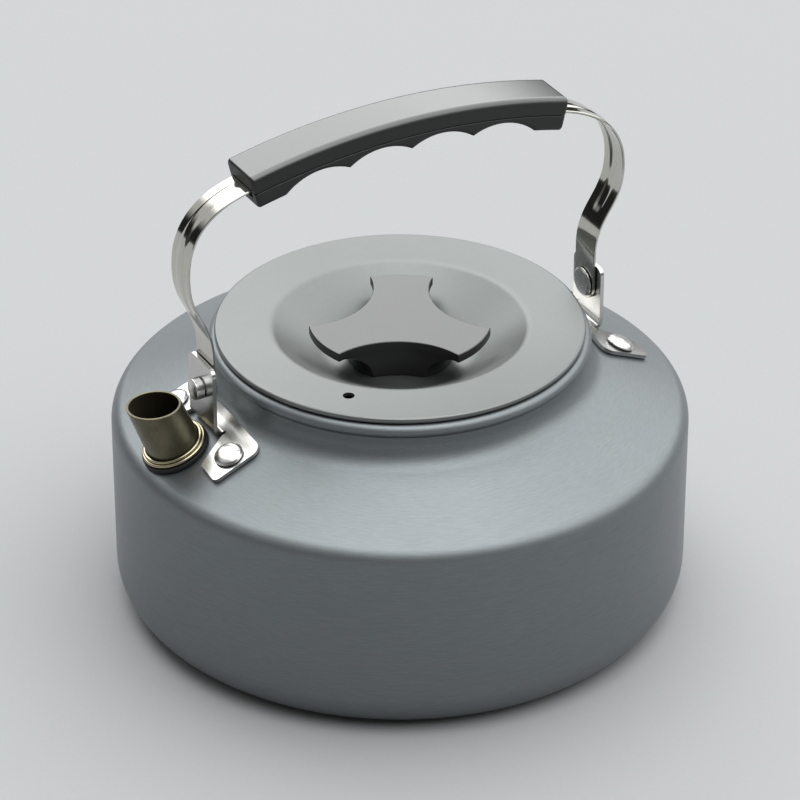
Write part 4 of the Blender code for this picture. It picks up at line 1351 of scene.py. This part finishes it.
@dataclass
class Studio:
    """The pale floor, the soft dome of light and the camera."""

    azimuth: float = math.radians(29.0)
    elevation: float = math.radians(31.0)
    distance: float = 1.2505
    aim_z: float = 62.56 * MM
    lens: float = 185.58
    sensor: float = 36.0
    dome_axis: tuple[float, float, float] = (0.35, 0.63, 0.69)
    dome_edge: Point = (-0.15, 0.25)
    dome_foot: Point = (0.18, 0.42)
    dome_left: Point = (-0.33, -0.08)
    dome_right: Point = (0.0, 0.7)
    dome_front: Point = (-0.4, 0.2)
    dome_glow: float = 3.5
    left_share: float = 0.2
    right_share: float = 0.66
    foot_tilt: float = 0.1
    left_tilt: float = 0.5
    surround: float = 0.14
    behind: float = 0.02
    floor_half: float = 8.0
    fibre_scale: float = 900.0
    paper: str = "#979899"
    fibre: str = "#9b9c9d"

    def build_floor(self) -> None:
        """A seamless floor of pale grey paper."""
        bm = bmesh.new()
        bmesh.ops.create_grid(bm, x_segments=4, y_segments=4, size=self.floor_half)
        floor = new_object("studio_floor", bm)
        mat = bpy.data.materials.new("matt_pale_grey_paper")
        mat.use_nodes = True
        tree = mat.node_tree
        tree.nodes.clear()
        place = add_node(tree, "TexCoord").outputs["Object"]
        fibre = add_node(tree, "TexNoise", {"Vector": place, "Scale": self.fibre_scale, "Detail": 2.0})
        tone = add_node(tree, "Mix", {0: fibre, 6: linear(self.paper), 7: linear(self.fibre)}, data_type="RGBA")
        shader = add_node(tree, "BsdfPrincipled", {"Base Color": tone.outputs[2], "Roughness": 0.9})
        add_node(tree, "OutputMaterial", {"Surface": shader})
        floor.data.materials.append(mat)

    def build_world(self) -> None:
        """A soft dome of light over and behind the kettle, dim elsewhere."""
        world = bpy.data.worlds.new("studio_dome")
        world.use_nodes = True
        tree = world.node_tree
        tree.nodes.clear()
        way = add_node(tree, "TexCoord").outputs["Generated"]
        away = (math.sin(self.azimuth), math.cos(self.azimuth), 0.0)
        towards, back = [
            add_node(tree, "VectorMath", {0: way, 1: axis}, operation="DOT_PRODUCT").outputs["Value"]
            for axis in (self.dome_axis, away)]
        axes = add_node(tree, "SeparateXYZ", {0: way}).outputs
        height = add_node(tree, "Math", {0: axes[0], 1: self.foot_tilt, 2: axes[2]}, operation="MULTIPLY_ADD")
        leaning = add_node(tree, "Math", {0: axes[2], 1: self.left_tilt, 2: axes[0]}, operation="MULTIPLY_ADD")
        left_edge = [edge + self.left_tilt / 2 for edge in self.dome_left]
        over, above, left, right, before = [
            add_node(tree, "MapRange", {"Value": value, "From Min": start, "From Max": end, "To Min": first,
                                        "To Max": last}, interpolation_type=blend)
            for value, (start, end), (first, last), blend in (
                (towards, self.dome_edge, (0.0, 1.0), "SMOOTHSTEP"),
                (height, self.dome_foot, (0.0, 1.0), "SMOOTHSTEP"),
                (leaning, left_edge, (self.left_share * self.dome_glow, self.dome_glow), "SMOOTHSTEP"),
                (axes[0], self.dome_right, (1.0, self.right_share), "LINEAR"),
                (back, self.dome_front, (self.surround, self.behind), "SMOOTHSTEP"))]
        beside = add_node(tree, "Math", {0: left, 1: right}, operation="MULTIPLY")
        roof = add_node(tree, "Math", {0: over, 1: above}, operation="MULTIPLY")
        lit = add_node(tree, "Math", {0: roof, 1: beside}, operation="MULTIPLY")
        shown = add_node(tree, "Math", {0: lit, 1: before}, operation="MAXIMUM")
        dome = add_node(tree, "Background", {0: linear("#feffff"), 1: shown})
        add_node(tree, "OutputWorld", {"Surface": dome})
        bpy.context.scene.world = world

    def build_camera(self) -> None:
        """The camera, at the place that the kettle's outline was fitted from."""
        data = bpy.data.cameras.new("camera")
        data.lens = self.lens
        data.sensor_width = self.sensor
        data.clip_start = 0.01
        camera = bpy.data.objects.new("camera", data)
        reach = self.distance * math.cos(self.elevation)
        camera.location = (-reach * math.sin(self.azimuth), -reach * math.cos(self.azimuth),
                           self.aim_z + self.distance * math.sin(self.elevation))
        camera.rotation_euler = (QUARTER - self.elevation, 0.0, -self.azimuth)
        bpy.context.scene.collection.objects.link(camera)
        bpy.context.scene.camera = camera

    def build(self) -> None:
        """Set up the studio."""
        self.build_floor()
        self.build_world()
        self.build_camera()
        bpy.context.scene.view_settings.view_transform = "Standard"


def main() -> None:
    """Build the kettle piece by piece, then the studio."""
    logging.basicConfig(level=logging.INFO, format="%(message)s")
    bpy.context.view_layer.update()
    body = Body()
    body.build()
    Spout(body).build()
    left = Bracket(body, Side.LEFT, 8.5 * MM)
    right = Bracket(body, Side.RIGHT, 6.6 * MM)
    left.build()
    right.build()
    Rivets(body, right).build()
    Bail().build()
    lid = Lid(body)
    lid.build()
    Knob(lid).build()
    Studio().build()


if __name__ == "__main__":
    main()
